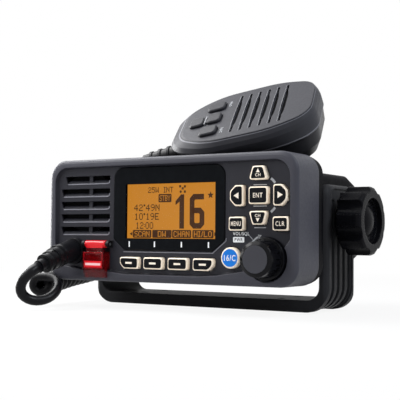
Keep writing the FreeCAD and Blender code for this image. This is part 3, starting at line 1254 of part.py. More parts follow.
def mic_capsule():
    return placed_on_mic(rod((0, 0, MIC_BOARD_N), (0, 0, 1), MIC_CAPSULE_R, MIC_CAPSULE))


def mic_ptt():
    steps = ((PTT_LOW, PTT_EDGE), (PTT_LOW + PTT_EDGE, 0.0), (PTT_HIGH - PTT_EDGE, 0.0), (PTT_HIGH, PTT_EDGE))
    return placed_on_mic(lofted(PTT, PTT_CORNERS, on_mic, steps))


def mic_key(name):
    points, radii = mic_key_outline(name)
    cap = lofted(points, radii, on_mic, ((MIC_KEY_PROUD, 0.6), (MIC_KEY_PROUD - 0.6, 0.0)))
    back = -MIC_WALL - LOOSE
    stem = prism(points, radii, on_mic, back - MIC_KEY_FLANGE, MIC_KEY_PROUD - 0.6)
    wide = prism(*mic_key_outline(name, MIC_KEY_FLANGE), on_mic, back - MIC_KEY_FLANGE, back)
    assert back - MIC_KEY_FLANGE - MIC_KEY_TRAVEL > MIC_BOARD_N
    return placed_on_mic(cap.fuse([stem, wide]))


# ---------------------------------------------------------------- curly cord

def tube(name, points, radius):
    """A tube along straight runs joined by tangent arcs, as large as the runs allow."""
    points = [V(*p) for p in points]
    edges, at, radii = [], points[0], []
    for before, corner, after in zip(points, points[1:], points[2:]):
        back, on = before - corner, after - corner
        half = back.getAngle(on) / 2
        reach = 0.45 * min(back.Length, on.Length)
        arc_radius = reach * math.tan(half)
        radii.append(arc_radius)
        back, on = back.normalize(), on.normalize()
        start, end = corner + back * reach, corner + on * reach
        middle = corner + (back + on).normalize() * (arc_radius / math.sin(half) - arc_radius)
        edges.append(Part.LineSegment(at, start).toShape())
        edges.append(Part.Arc(start, middle, end).toShape())
        at = end
    edges.append(Part.LineSegment(at, points[-1]).toShape())
    path = Part.Wire(edges)
    section = Part.Wire([Part.Circle(points[0], points[1] - points[0], radius).toShape()])
    solid = path.makePipeShell([section], True, False)
    share = solid.Volume / (math.pi * radius * radius * path.Length)
    print(name, "length", round(path.Length, 1), "volume share", round(share, 4), "least radius",
          round(min(radii), 1), "radii", [round(r, 1) for r in radii])
    return solid


def loop_point(across, up, deeper):
    angle = math.radians(LOOP_AZIMUTH)
    right, ahead = V(math.cos(angle), math.sin(angle), 0), V(-math.sin(angle), math.cos(angle), 0)
    return V(*LOOP_CENTRE) + right * across + V(0, 0, up) + ahead * deeper


def coil_entry(at, along, height):
    """A point in the coil's end face, above or below its middle."""
    return at + (V(0, 0, 1) - along * along.z).normalize() * height


def cord_tail_radio():
    """From the sleeve, down round a loose loop, and into the near end of the coil."""
    sleeve = V(*RELIEF_END) + relief_axis() * SLEEVE_LONG
    along = (V(*COIL[1]) - V(*COIL[0])).normalize()
    entry = coil_entry(V(*COIL[0]), along, COIL_ENTRY)
    points = [sleeve, sleeve + relief_axis() * TAIL_RUN]
    points += [loop_point(*p) for p in LOOP] + [entry - along * TAIL_RUN, entry]
    return tube("cord_tail_radio", points, CORD_R)


def cord_coil():
    return tube("cord_coil", COIL, COIL_R)


def mic_boot_point(beyond):
    """A point on the boot's axis, beyond its thin end."""
    start = mic_boot_start()
    return mic_placement().multVec(V(start[0] - MIC_BOOT_LONG - MIC_BOOT_IN - beyond, start[1], start[2]))


def cord_tail_mic():
    """From the microphone's boot over the chassis and into the far end of the coil."""
    along = (V(*COIL[-2]) - V(*COIL[-1])).normalize()
    end = coil_entry(V(*COIL[-1]), along, -COIL_ENTRY)
    points = [mic_boot_point(0.0), mic_boot_point(TAIL_RUN)] + [V(*p) for p in TAIL]
    return tube("cord_tail_mic", points + [end - along * TAIL_RUN, end], CORD_R)


# ---------------------------------------------------------------- all pieces

def pieces():
    """Every piece under its own name."""
    made = {
        "bracket": bracket(), "front_panel": front_panel(), "panel_gasket": panel_gasket(),
        "chassis": chassis(), "chassis_screws": chassis_screws(), "display_lens": display_lens(),
        "lcd_panel": lcd_panel(), "lcd_frame": lcd_frame(), "front_board": front_board(),
        "main_board": main_board(), "rf_shield": rf_shield(), "power_module": power_module(),
        "speaker_frame": speaker_frame(), "speaker_cone": speaker_cone(),
        "speaker_magnet": speaker_magnet(), "speaker_cloth": speaker_cloth(), "key_mat": key_mat(),
        "encoder": encoder(), "dial_shaft": dial_shaft(), "dial_knob": dial_knob(),
        "cord_gland": cord_gland(), "antenna_socket": antenna_socket(), "lead_grommet": lead_grommet(),
        "clamp_inserts": clamp_inserts(), "clamp_washers": clamp_washers(),
        "clamp_knob_right": clamp_knob(1), "clamp_bolt_right": clamp_bolt(1),
        "clamp_knob_left": clamp_knob(-1), "clamp_bolt_left": clamp_bolt(-1),
        "distress_cover": distress_cover(), "distress_hinge_pin": distress_hinge_pin(),
        "distress_button": distress_button(), "mic_front_shell": mic_front_shell(),
        "mic_rear_shell": mic_rear_shell(), "mic_screws": mic_screws(),
        "mic_hanger_stud": mic_hanger_stud(), "mic_boot": mic_boot(), "mic_board": mic_board(),
        "mic_capsule": mic_capsule(), "mic_ptt": mic_ptt(), "cord_tail_radio": cord_tail_radio(),
        "cord_coil": cord_coil(), "cord_tail_mic": cord_tail_mic(),
    }
    for name in key_outlines():
        made[name] = key(name)
    for name in MIC_KEYS:
        made[name] = mic_key(name)
    return made


def main():
    os.makedirs("parts", exist_ok=True)
    to_base = V(0, -PIVOT_Y, PIVOT_HEIGHT)
    for name, shape in pieces().items():
        shape = shape.copy()
        shape.translate(to_base)
        shape.exportStep(f"parts/{name}.step")


main()
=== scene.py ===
import json
import math

import bmesh
import bpy
from mathutils import Matrix, Vector

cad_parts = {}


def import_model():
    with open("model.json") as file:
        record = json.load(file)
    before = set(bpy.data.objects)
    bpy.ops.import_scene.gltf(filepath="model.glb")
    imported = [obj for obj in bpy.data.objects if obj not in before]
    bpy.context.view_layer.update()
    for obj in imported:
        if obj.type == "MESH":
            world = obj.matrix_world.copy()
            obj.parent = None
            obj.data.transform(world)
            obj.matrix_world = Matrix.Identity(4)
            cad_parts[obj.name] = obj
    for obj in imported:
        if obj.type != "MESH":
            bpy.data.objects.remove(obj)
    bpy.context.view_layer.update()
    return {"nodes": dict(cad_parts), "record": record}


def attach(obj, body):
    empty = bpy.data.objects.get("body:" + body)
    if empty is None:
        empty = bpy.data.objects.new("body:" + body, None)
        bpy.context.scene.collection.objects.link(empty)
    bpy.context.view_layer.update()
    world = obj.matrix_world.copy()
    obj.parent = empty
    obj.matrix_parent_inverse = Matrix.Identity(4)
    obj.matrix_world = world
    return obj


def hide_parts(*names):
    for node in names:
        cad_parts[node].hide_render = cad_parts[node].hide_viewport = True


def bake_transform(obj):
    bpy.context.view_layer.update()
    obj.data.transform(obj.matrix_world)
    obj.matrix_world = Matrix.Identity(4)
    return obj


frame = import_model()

# All places are in metres in the row frame. Sizes taken from the front panel are written in
# millimetres in the panel's own frame (x right, y back, z up from its middle) and go through at().
MM = 0.001
PANEL_Y, PANEL_Z = -55.7, 47.8


def at(x, y, z):
    """A point of the panel's frame in the row frame."""
    return Vector((x * MM, (y + PANEL_Y) * MM, (z + PANEL_Z) * MM))


# The middle of the microphone's face and the way the face is turned
MIC_AT = Vector((0.0315, -0.0108, 0.1097))
MIC_TURN = (Matrix.Rotation(math.radians(11.0), 3, "Z") @ Matrix.Rotation(math.radians(-10.3), 3, "Y")
            @ Matrix.Rotation(math.radians(36.0), 3, "X"))


def on_mic(u, depth, v):
    """A point on the microphone, u and v in its face and a depth below it."""
    return MIC_AT + MIC_TURN @ Vector((u * MM, v * MM, -depth * MM))


def link(name, mesh):
    obj = bpy.data.objects.new(name, mesh)
    bpy.context.scene.collection.objects.link(obj)
    return obj


def mesh_from(name, verts, faces, smooth=True):
    mesh = bpy.data.meshes.new(name)
    mesh.from_pydata([tuple(v) for v in verts], [], faces)
    mesh.validate()
    mesh.update()
    if smooth:
        mesh.polygons.foreach_set("use_smooth", [True] * len(mesh.polygons))
    return mesh


SHARP_ANGLE = 32  # edges that turn by more degrees stay crisp


def sharpen(mesh):
    """Smooth shading with crisp edges."""
    mesh.polygons.foreach_set("use_smooth", [True] * len(mesh.polygons))
    mesh.set_sharp_from_angle(angle=math.radians(SHARP_ANGLE))


# ---- materials

MAT = {}  # every material by its name
MIX_INPUTS, MIX_RESULT = (0, 6, 7), 2  # the colour sockets of a mix node: factor, first and second


class Nodes:
    """A short way to write a node tree. A socket is named by its title, or by i and its number."""

    def __init__(self, name):
        MAT[name] = bpy.data.materials.new(name)
        MAT[name].use_nodes = True
        self.tree = MAT[name].node_tree
        self.tree.nodes.clear()
        self.out = self.add("ShaderNodeOutputMaterial")
        self.shader = self.add("ShaderNodeBsdfPrincipled")
        self.join(self.shader, "BSDF", self.out, "Surface")
        self.coords = self.add("ShaderNodeTexCoord")

    def add(self, kind, **inputs):
        node = self.tree.nodes.new(kind)
        for key, value in inputs.items():
            self.put(node, key, value)
        return node

    def put(self, node, key, value):
        by_number = key[0] == "i" and key[1:].isdigit()
        socket = node.inputs[int(key[1:]) if by_number else key.replace("_", " ")]
        if isinstance(value, tuple) and isinstance(value[0], bpy.types.Node):
            self.tree.links.new(value[0].outputs[value[1]], socket)
        else:
            socket.default_value = value
        return node

    def join(self, a, output, b, key):
        self.tree.links.new(a.outputs[output], b.inputs[key])

    def math(self, kind, *values):
        node = self.add("ShaderNodeMath")
        node.operation = kind
        for index, value in enumerate(values):
            self.put(node, f"i{index}", value)
        return node, 0

    def noise(self, scale, detail=2.0, roughness=0.5):
        return self.add("ShaderNodeTexNoise", Vector=(self.coords, "Object"), Scale=scale, Detail=detail,
                        Roughness=roughness), "Fac"

    def spread(self, value, low, high, from_low=0.3, from_high=0.7):
        """Maps a value to a new range. The one it starts from is where most of a noise lies."""
        node = self.add("ShaderNodeMapRange", i0=value, i1=from_low, i2=from_high, i3=low, i4=high)
        return node, 0

    def mix(self, factor, a, b):
        node = self.add("ShaderNodeMix")
        node.data_type = "RGBA"
        for index, value in zip(MIX_INPUTS, (factor, a, b)):
            self.put(node, f"i{index}", value)
        return node, MIX_RESULT

    def off_middle(self, place, low, high, axis):
        """How far a point is from the middle of a box along one axis."""
        return self.math("ABSOLUTE", self.math("SUBTRACT", (place, axis), (low[axis] + high[axis]) / 2))

    def inside(self, low, high, axes=(0, 1, 2)):
        """1 in a box of object space and 0 outside it."""
        place = self.add("ShaderNodeSeparateXYZ", Vector=(self.coords, "Object"))
        found = None
        for axis in axes:
            off = self.off_middle(place, low, high, axis)
            within = self.math("LESS_THAN", off, abs(high[axis] - low[axis]) / 2)
            found = self.math("MULTIPLY", found, within) if found else within
        return found

    def rounded_inside(self, low, high, corner):
        """The same for a box whose corners are round, seen from the front."""
        place = self.add("ShaderNodeSeparateXYZ", Vector=(self.coords, "Object"))
        reach = None
        for axis in (0, 2):
            off = self.off_middle(place, low, high, axis)
            past = self.math("SUBTRACT", off, abs(high[axis] - low[axis]) / 2 - corner)
            past = self.math("MAXIMUM", past, 0.0)
            square = self.math("MULTIPLY", past, past)
            reach = self.math("ADD", reach, square) if reach else square
        return self.math("MULTIPLY", self.inside(low, high, (1,)), self.math("LESS_THAN", reach, corner ** 2))

    def likeness(self, rounded):
        """How well a rounded normal still agrees with the flat one: less than 1 along an edge."""
        flat = self.add("ShaderNodeNewGeometry")
        turn = self.add("ShaderNodeVectorMath", i0=(rounded, 0), i1=(flat, "Normal"))
        turn.operation = "DOT_PRODUCT"
        return turn, "Value"

    def set_normal(self, node):
        self.join(node, 0, self.shader, "Normal")

    def mic_depth(self, near, far):
        """1 between two depths below the microphone's face, in millimetres."""
        up = MIC_TURN @ Vector((0, 0, 1))
        height = self.add("ShaderNodeVectorMath", i0=(self.coords, "Object"), i1=tuple(up))
        height.operation = "DOT_PRODUCT"
        middle = up.dot(MIC_AT) - (near + far) / 2 * MM
        off = self.math("ABSOLUTE", self.math("SUBTRACT", (height, "Value"), middle))
        return self.math("LESS_THAN", off, (far - near) / 2 * MM)


def linear(*rgb):
    """A colour from its screen values, 0 to 255."""
    out = []
    for value in rgb:
        v = value / 255
        out.append(v / 12.92 if v <= 0.04045 else ((v + 0.055) / 1.055) ** 2.4)
    return tuple(out) + (1.0,)


def shade(colour, by):
    return tuple(min(1.0, c * by) for c in colour[:3]) + (1.0,)


CLOUDS, STAINS = (60.0, 4.0, 0.6), (900.0, 3.0, 0.6)  # scale, detail and roughness of two noises
UNEVEN = 0.08  # how far a moulded surface's roughness strays
EDGE_WEAR_AND_HIGHLIGHT = (1.0, 0.0, 0.80, 0.995)  # full wear and painted highlight where the normals agree by 0.80 or less, none from 0.995 on
EDGE_LIGHTENING = 3.5  # how much lighter a fully worn edge with its painted highlight is


def plastic(name, colour, rough=0.5, specular=0.3, mottle=0.12, grain=3500.0, bump=0.08, depth=0.00004,
            edge=0.0004, wear_and_highlight=0.0, areas=()):
    """Moulded or painted surface: slight cloudiness, a fine grain and rounded edges, made lighter partly by
    faint wear and partly by painted highlight.

    Each area is the name of a mask of Nodes, its bounds and the colour there."""
    n = Nodes(name)
    cloud = n.spread(n.noise(*CLOUDS), 0.0, 1.0)
    tint = n.mix(cloud, shade(colour, 1 - mottle), shade(colour, 1 + mottle))
    rounded = n.add("ShaderNodeBevel", Radius=edge) if edge else None
    if rounded:
        rounded.samples = 4
    # Edges grow lighter, partly as wear and partly as painted highlight
    if wear_and_highlight:
        rim = n.math("MULTIPLY", n.spread(n.likeness(rounded), *EDGE_WEAR_AND_HIGHLIGHT), wear_and_highlight)
        tint = n.mix(rim, tint, shade(colour, EDGE_LIGHTENING))
    for mask, bounds, there in areas:
        tint = n.mix(getattr(n, mask)(*bounds), tint, there)
    n.put(n.shader, "Base_Color", tint)
    n.put(n.shader, "Roughness", n.spread(n.noise(*STAINS), rough - UNEVEN, rough + UNEVEN))
    n.shader.inputs["Specular IOR Level"].default_value = specular
    texture = n.add("ShaderNodeBump", Strength=bump, Distance=depth, Height=n.noise(grain, 3.0, 0.7))
    if rounded:
        n.join(rounded, 0, texture, "Normal")
    n.set_normal(texture)


BRUSH_STRETCH = (1.0, 1.0, 40.0)


def brushed(name, colour, rough=0.32):
    """Turned or brushed metal with fine scratches across z."""
    n = Nodes(name)
    stretched = n.add("ShaderNodeMapping", Vector=(n.coords, "Object"), Scale=BRUSH_STRETCH)
    lines = n.add("ShaderNodeTexNoise", Vector=(stretched, 0), Scale=400.0, Detail=3.0)
    tint = n.mix(n.spread((lines, "Fac"), 0, 1), shade(colour, 0.8), shade(colour, 1.1))
    n.put(n.shader, "Base_Color", tint)
    n.put(n.shader, "Roughness", n.spread((lines, "Fac"), rough - 0.1, rough + 0.12))
    n.put(n.shader, "Metallic", 1.0)
    texture = n.add("ShaderNodeBump", Strength=0.15, Distance=0.00003, Height=(lines, "Fac"))
    n.set_normal(texture)


def woven(name, colour, pitch):
    """Plain-weave cloth from two crossed waves."""
    n = Nodes(name)
    across = n.add("ShaderNodeTexWave", Vector=(n.coords, "Object"), Scale=1 / pitch)
    up = n.add("ShaderNodeTexWave", Vector=(n.coords, "Object"), Scale=1 / pitch)
    up.bands_direction = "Z"
    thread = n.math("MULTIPLY", (across, "Fac"), (up, "Fac"))
    n.put(n.shader, "Base_Color", n.mix(thread, shade(colour, 0.4), shade(colour, 1.8)))
    n.put(n.shader, "Roughness", 0.85)
    n.shader.inputs["Specular IOR Level"].default_value = 0.05
    texture = n.add("ShaderNodeBump", Strength=0.5, Distance=0.0001, Height=thread)
    n.set_normal(texture)


DIM = 0.06  # how much darker the backlight is where it is weakest


def glowing(name, colour, strength=1.0):
    """A backlit display face, slightly uneven."""
    n = Nodes(name)
    cloud = n.spread(n.noise(45.0, 2.0), 1 - DIM, 1.0)
    tint = n.mix(n.spread(n.noise(2500.0), 0, 1), shade(colour, 0.97), shade(colour, 1.03))
    n.put(n.shader, "Base_Color", (0.01, 0.006, 0.002, 1))
    n.put(n.shader, "Emission_Color", tint)
    n.put(n.shader, "Emission_Strength", n.math("MULTIPLY", cloud, strength))
    n.put(n.shader, "Roughness", 0.6)
    n.shader.inputs["Specular IOR Level"].default_value = 0.1


LENS_WINDOW = (at(-25.5, 0, -9.9), at(31.1, 0, 19.0), (0, 2))  # its corners and the axes that count
LENS_CLEAR = 0.93
LENS_PRINT = ((0.0028, 0.0034, 0.0045, 1), (0.0040, 0.0048, 0.0062, 1))


def lens_material():
    """Clear over the display, printed black round it."""
    n = Nodes("lens")
    inside = n.inside(*LENS_WINDOW)
    print_noise = n.spread(n.noise(300.0, 3.0), 0.0, 1.0)
    n.put(n.shader, "Base_Color", n.mix(print_noise, *LENS_PRINT))
    n.put(n.shader, "Roughness", n.spread(n.noise(80.0, 3.0), 0.06, 0.12))
    n.shader.inputs["Specular IOR Level"].default_value = 0.05
    n.put(n.shader, "Alpha", n.math("SUBTRACT", 1.0, n.math("MULTIPLY", inside, LENS_CLEAR)))
    rounded = n.add("ShaderNodeBevel", Radius=0.0003)
    n.set_normal(rounded)


FLOW_CLEAR = 0.06  # how far the flow lines change what shows through
SOLID_ALPHA = 0.94


def clear_red(name, colour, alpha, solid, solid_colour):
    """Tinted see-through moulding with faint flow lines, thick and bright in one box."""
    n = Nodes(name)
    flow = n.spread(n.noise(250.0, 3.0), 0.0, 1.0)
    thick = n.inside(*solid)
    tint = n.mix(flow, shade(colour, 0.6), colour)
    n.put(n.shader, "Base_Color", n.mix(thick, tint, solid_colour))
    clear = n.spread(n.noise(180.0), alpha - FLOW_CLEAR, alpha + FLOW_CLEAR)
    n.put(n.shader, "Alpha", n.math("MAXIMUM", clear, n.math("MULTIPLY", thick, SOLID_ALPHA)))
    n.put(n.shader, "Roughness", n.spread(n.noise(400.0), 0.06, 0.16))
    n.shader.inputs["Specular IOR Level"].default_value = 0.35
    rounded = n.add("ShaderNodeBevel", Radius=0.0005)
    texture = n.add("ShaderNodeBump", Strength=0.1, Distance=0.0001, Height=n.noise(600.0))
    n.join(rounded, 0, texture, "Normal")
    n.set_normal(texture)


# Boxes of the panel that are darker than its rim: painted shade on its recessed face and inside its louvres,
# and its black hinge ears; and the flip cover's barrel
RECESS_SHADE = (at(-74.2, -1.5, -29.2), at(74.2, 3.2, 29.2), 8.5 * MM)
LOUVRE_TOP, LOUVRE_PITCH = 24.2, 7.0
LOUVRES = [LOUVRE_TOP - LOUVRE_PITCH * i for i in range(5)]
# Painted shade inside each louvre, behind the face
LOUVRE_SHADE = [(at(-71.5, 1.7, top - 2.4), at(-34.5, 9.0, top + 0.6)) for top in LOUVRES]
HINGE_EARS = (at(-53.2, -6.0, -15.6), at(-33.4, 0.15, -10.8))
COVER_BARREL = (at(-51.0, -6.0, -15.3), at(-35.6, 0.6, -10.8))

# The bezel: painted shade darkens its recessed face and the insides of its louvres; its hinge ears are black
plastic("bezel", linear(60, 60, 67), rough=0.44, specular=0.16, mottle=0.05, grain=5200,
        bump=0.20, depth=0.00005, edge=0.0006, wear_and_highlight=0.14,
        areas=[("rounded_inside", RECESS_SHADE, linear(37, 37, 43)),
               ("inside", HINGE_EARS, linear(9, 9, 11))]
        + [("inside", bounds, linear(12, 12, 15)) for bounds in LOUVRE_SHADE])
plastic("bracket", linear(40, 40, 42), rough=0.50, specular=0.06, mottle=0.06, bump=0.08,
        edge=0.0012, wear_and_highlight=0.06)
plastic("gasket", linear(10, 10, 12), rough=0.7, specular=0.08, bump=0.15)
plastic("chassis", linear(9, 9, 12), rough=0.46, specular=0.02, grain=2600, bump=0.20,
        depth=0.00006, edge=0.0007, wear_and_highlight=0.10)
brushed("screws", (0.62, 0.62, 0.62, 1))
lens_material()
glowing("lcd", linear(202, 132, 44), 1.08)
plastic("lcd_frame", linear(22, 22, 24), rough=0.6, specular=0.2)
plastic("board", linear(18, 82, 50), rough=0.35, specular=0.4, mottle=0.25, grain=900, bump=0.2)
brushed("shield", (0.6, 0.6, 0.58, 1), 0.4)
plastic("module", linear(40, 40, 42), rough=0.6, specular=0.2)
plastic("speaker_metal", linear(34, 34, 36), rough=0.4, specular=0.4)
plastic("speaker_cone", linear(45, 44, 43), rough=0.9, specular=0.1, mottle=0.3, grain=1800, bump=0.4)
brushed("magnet", (0.4, 0.4, 0.42, 1), 0.45)
woven("cloth", linear(9, 9, 10), 0.0006)
plastic("mat", linear(150, 150, 148), rough=0.7, specular=0.2)
plastic("key", linear(250, 234, 212), rough=0.42, specular=0.3, mottle=0.04, bump=0.05, edge=0.0004)
plastic("key_top", linear(6, 8, 13), rough=0.34, specular=0.10, mottle=0.15, bump=0.04, edge=0.0003)
plastic("key_blue", linear(2, 112, 204), rough=0.36, specular=0.25, mottle=0.05, bump=0.04, edge=0.0003)
plastic("key_print", linear(240, 228, 212), rough=0.5, specular=0.2, mottle=0.03, edge=0)
plastic("white_print", linear(236, 238, 240), rough=0.5, specular=0.2, mottle=0.03, edge=0)
plastic("grey_print", linear(168, 170, 174), rough=0.5, specular=0.2, mottle=0.05, edge=0)
glowing("lcd_ink", linear(70, 42, 26))
glowing("lcd_light", linear(200, 130, 44))
plastic("pale_print", linear(236, 190, 190), rough=0.5, specular=0.2, mottle=0.06, edge=0)
# Felt behind the microphone's slits; the same near black is painted shade beside and in its grooves
plastic("felt_and_shade", linear(9, 9, 10), rough=0.95, specular=0.03, mottle=0.3, grain=2500, bump=0.4, edge=0)
# Pale strips of painted highlight along the lens's and the louvres' lower lips
plastic("lip_highlight", linear(118, 118, 126), rough=0.4, specular=0.3, mottle=0.06, edge=0.0002)
# Pale grey: the painted highlights beside the microphone's grooves, and the ridge between two keys
plastic("mic_light", linear(120, 120, 124), rough=0.45, specular=0.3, mottle=0.06, edge=0.0002)
plastic("cover_red", linear(214, 22, 34), rough=0.3, specular=0.3, mottle=0.08, edge=0)
plastic("cover_edge", linear(128, 8, 16), rough=0.25, specular=0.3, mottle=0.10, edge=0)
brushed("encoder", (0.6, 0.6, 0.6, 1))
brushed("shaft", (0.7, 0.7, 0.72, 1))
plastic("dial", linear(8, 8, 11), rough=0.16, specular=0.12, mottle=0.08, bump=0.03, edge=0.0005, wear_and_highlight=0.10)
plastic("dial_cap", linear(60, 60, 65), rough=0.5, specular=0.12, mottle=0.05, bump=0.10, edge=0.0003)
plastic("gland", linear(12, 12, 15), rough=0.34, specular=0.12, mottle=0.08, bump=0.02,
        edge=0.0005, wear_and_highlight=0.16)
brushed("socket", (0.75, 0.74, 0.72, 1), 0.22)
brushed("insert", (0.75, 0.55, 0.25, 1), 0.3)
plastic("washer", linear(30, 30, 31), rough=0.6, specular=0.2)
plastic("knob", linear(12, 12, 15), rough=0.26, specular=0.04, mottle=0.07, bump=0.03,
        edge=0.0009, wear_and_highlight=0.10)
clear_red("cover", linear(124, 2, 8), 0.42, COVER_BARREL, linear(214, 20, 30))
plastic("distress", linear(44, 4, 6), rough=0.25, specular=0.2, mottle=0.05, edge=0.0004)
plastic("mic_shell", linear(54, 54, 58), rough=0.45, specular=0.10, mottle=0.06, grain=4200,
        bump=0.05, edge=0.0004,
        # Painted light on the shell: a pale band of painted highlight 11.2 to 11.9 mm below its face, by the
        # seam, and just below the face's edge a thin line of painted shade with a painted highlight under it
        areas=[("mic_depth", (11.2, 11.9), linear(110, 110, 115)),
               ("mic_depth", (0.35, 0.65), linear(30, 30, 33)),
               ("mic_depth", (0.65, 1.0), linear(100, 100, 106))])
plastic("mic_dark", linear(34, 34, 37), rough=0.36, specular=0.12, mottle=0.06, grain=4200,
        bump=0.10, edge=0.0004)
plastic("mic_trim", linear(40, 40, 44), rough=0.40, specular=0.12, mottle=0.08, bump=0.08, edge=0.0006)
brushed("stud", (0.55, 0.55, 0.56, 1))
brushed("capsule", (0.7, 0.7, 0.7, 1))
plastic("cord", linear(11, 11, 14), rough=0.36, specular=0.12, mottle=0.10, grain=1500, bump=0.03, edge=0)


def dress(obj, material):
    obj.data.materials.clear()
    obj.data.materials.append(MAT[material])


OWN_FINISH = {"mic_rear_shell": "mic_dark", "mic_ptt": "mic_dark"}
for part in frame["record"]["subparts"]:
    node = frame["nodes"][part["node"]]
    dress(node, OWN_FINISH.get(part["node"], part["material_slot"]))
    sharpen(node.data)


# ---- cord

# The cord's route: from the strain relief round the loose loop, along the coil's middle, to the microphone
ROUTE_RADIO = ((-0.06, -0.08566, 0.02249), (-0.06, -0.09112, 0.02054), (-0.0645, -0.0941, 0.015),
               (-0.0666, -0.0926, 0.0086), (-0.0641, -0.0879, 0.0046), (-0.0597, -0.0825, 0.0044),
               (-0.0574, -0.0765, 0.0070), (-0.0592, -0.0698, 0.0120), (-0.0656, -0.0667, 0.0160))
ROUTE_COIL = ((-0.0730, -0.0700, 0.0121), (-0.0820, -0.0550, 0.0112), (-0.0855, -0.0327, 0.015),
              (-0.088, -0.0087, 0.0173), (-0.09, 0.0153, 0.0208), (-0.0895, 0.0363, 0.0328),
              (-0.086, 0.0453, 0.0538), (-0.078, 0.0433, 0.0728), (-0.0675, 0.0338, 0.0807),
              (-0.0675, 0.0163, 0.0807))
ROUTE_MIC = ((-0.0620, 0.0150, 0.0842), (-0.0592, 0.0090, 0.0815), (-0.0600, 0.0000, 0.0785),
             (-0.0600, -0.0090, 0.0779), (-0.0562, -0.0153, 0.079), (-0.04653, -0.01833, 0.08158),
             (-0.04092, -0.01724, 0.08262))
CORD_R = 0.00245
CORD_SIDES = 14
TAIL_LENGTH = 0.045
TAIL_SWELL = 0.17  # how much thicker the cord is where it leaves the strain relief
HELIX_R = 0.00415
HELIX_PITCH = 0.0051
HELIX_STEPS = 14  # points to a turn
AXIS_FINE, CORD_FINE = 12, 3  # steps of the two smooth lines between their points


def spline_points(name, points, resolution):
    """The points along a smooth NURBS line with these control points."""
    curve = bpy.data.curves.new(name, "CURVE")
    curve.dimensions = "3D"
    curve.resolution_u = resolution
    spline = curve.splines.new("NURBS")
    spline.points.add(len(points) - 1)
    for point, place in zip(spline.points, points):
        point.co = (*place, 1.0)
    spline.order_u = 3
    spline.use_endpoint_u = True
    obj = link(name, curve)
    mesh = bpy.data.meshes.new_from_object(obj.evaluated_get(bpy.context.evaluated_depsgraph_get()))
    found = [v.co.copy() for v in mesh.vertices]
    bpy.data.objects.remove(obj)
    return found


def frames_along(line):
    """Each point of a line with two steady cross directions."""
    side = Vector((0, 0, 1))
    out = []
    for i, here in enumerate(line):
        ahead = (line[min(i + 1, len(line) - 1)] - line[max(i - 1, 0)]).normalized()
        side = (side - ahead * side.dot(ahead)).normalized()
        out.append((here, side, ahead.cross(side)))
    return out


def resampled(line, count):
    """The same line as evenly spaced points."""
    lengths = [0.0]
    for a, b in zip(line, line[1:]):
        lengths.append(lengths[-1] + (b - a).length)
    out, j = [], 0
    for i in range(count + 1):
        want = lengths[-1] * i / count
        while j < len(line) - 2 and lengths[j + 1] < want:
            j += 1
        share = (want - lengths[j]) / max(lengths[j + 1] - lengths[j], 1e-9)
        out.append(line[j].lerp(line[j + 1], min(1.0, share)))
    return out


def tube_mesh(name, line, radii):
    """A round tube along a line, closed at both ends."""
    verts, faces = [], []
    for (here, side, other), radius in zip(frames_along(line), radii):
        for k in range(CORD_SIDES):
            turn = 2 * math.pi * k / CORD_SIDES
            verts.append(here + (side * math.cos(turn) + other * math.sin(turn)) * radius)
    for i in range(len(line) - 1):
        for k in range(CORD_SIDES):
            a, b = i * CORD_SIDES + k, i * CORD_SIDES + (k + 1) % CORD_SIDES
            faces.append((a, b, b + CORD_SIDES, a + CORD_SIDES))
    faces.append(tuple(reversed(range(CORD_SIDES))))
    faces.append(tuple(range(len(verts) - CORD_SIDES, len(verts))))
    return mesh_from(name, verts, faces)


def curly_cord():
    """The whole cord as one tube. Its coil starts and ends at its top, in line with its two tails."""
    axis = spline_points("coil_axis", ROUTE_COIL, AXIS_FINE)
    total = sum((b - a).length for a, b in zip(axis, axis[1:]))
    _, side, other = frames_along(axis)[-1]
    turns = round(total / HELIX_PITCH) - math.atan2(other.z, side.z) / (2 * math.pi)
    count = round(turns * HELIX_STEPS)
    helix = []
    for i, (here, side, other) in enumerate(frames_along(resampled(axis, count))):
        turn = -2 * math.pi * turns * i / count
        helix.append(here + (side * math.cos(turn) + other * math.sin(turn)) * HELIX_R)
    points = [Vector(p) for p in ROUTE_RADIO] + helix + [Vector(p) for p in ROUTE_MIC]
    line = spline_points("cord_line", points, CORD_FINE)
    length, radii = 0.0, [CORD_R * (1 + TAIL_SWELL)]
    for a, b in zip(line, line[1:]):
        length += (b - a).length
        radii.append(CORD_R * (1 + TAIL_SWELL * max(0.0, 1 - length / TAIL_LENGTH) ** 0.5))
    cord = link("curly_cord", tube_mesh("curly_cord", line, radii))
    dress(cord, "cord")
    [tuple(p) for p in line]
    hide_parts("cord_tail_radio", "cord_coil", "cord_tail_mic")
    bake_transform(cord)


curly_cord()


# ---- flat trims and prints

FACE, LENS_FACE, LCD_FACE = 0.3, -0.2, 3.3  # depths of the panel's face, the lens and the display
INK = 0.04  # how far a print stands off what it is on


def outward(mesh):
    """Turns every face of a closed mesh outwards."""
    made = bmesh.new()
    made.from_mesh(mesh)
    bmesh.ops.recalc_face_normals(made, faces=made.faces)
    made.to_mesh(mesh)
    made.free()


def piece(name, mesh, material, body):
    """A visible piece that moves with a body."""
    obj = link(name, mesh)
    dress(obj, material)
    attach(obj, body)
    return obj


def moved_in(points, by):
    """A convex outline, drawn counterclockwise, with every side moved in."""
    lines = []
    for (ax, az), (bx, bz) in zip(points, points[1:] + points[:1]):
        long = math.hypot(bx - ax, bz - az)
        lines.append((ax - (bz - az) / long * by, az + (bx - ax) / long * by, bx - ax, bz - az))
    out = []
    for (px, pz, dx, dz), (qx, qz, ex, ez) in zip(lines[-1:] + lines[:-1], lines):
        t = ((qx - px) * ez - (qz - pz) * ex) / (dx * ez - dz * ex)
        out.append((px + t * dx, pz + t * dz))
    return out


CORNER_STEPS = 4
CORNER_SHARE = 0.45  # how much of a side one rounded corner may take
MITRE = 0.5  # keeps the outer corners of a line short


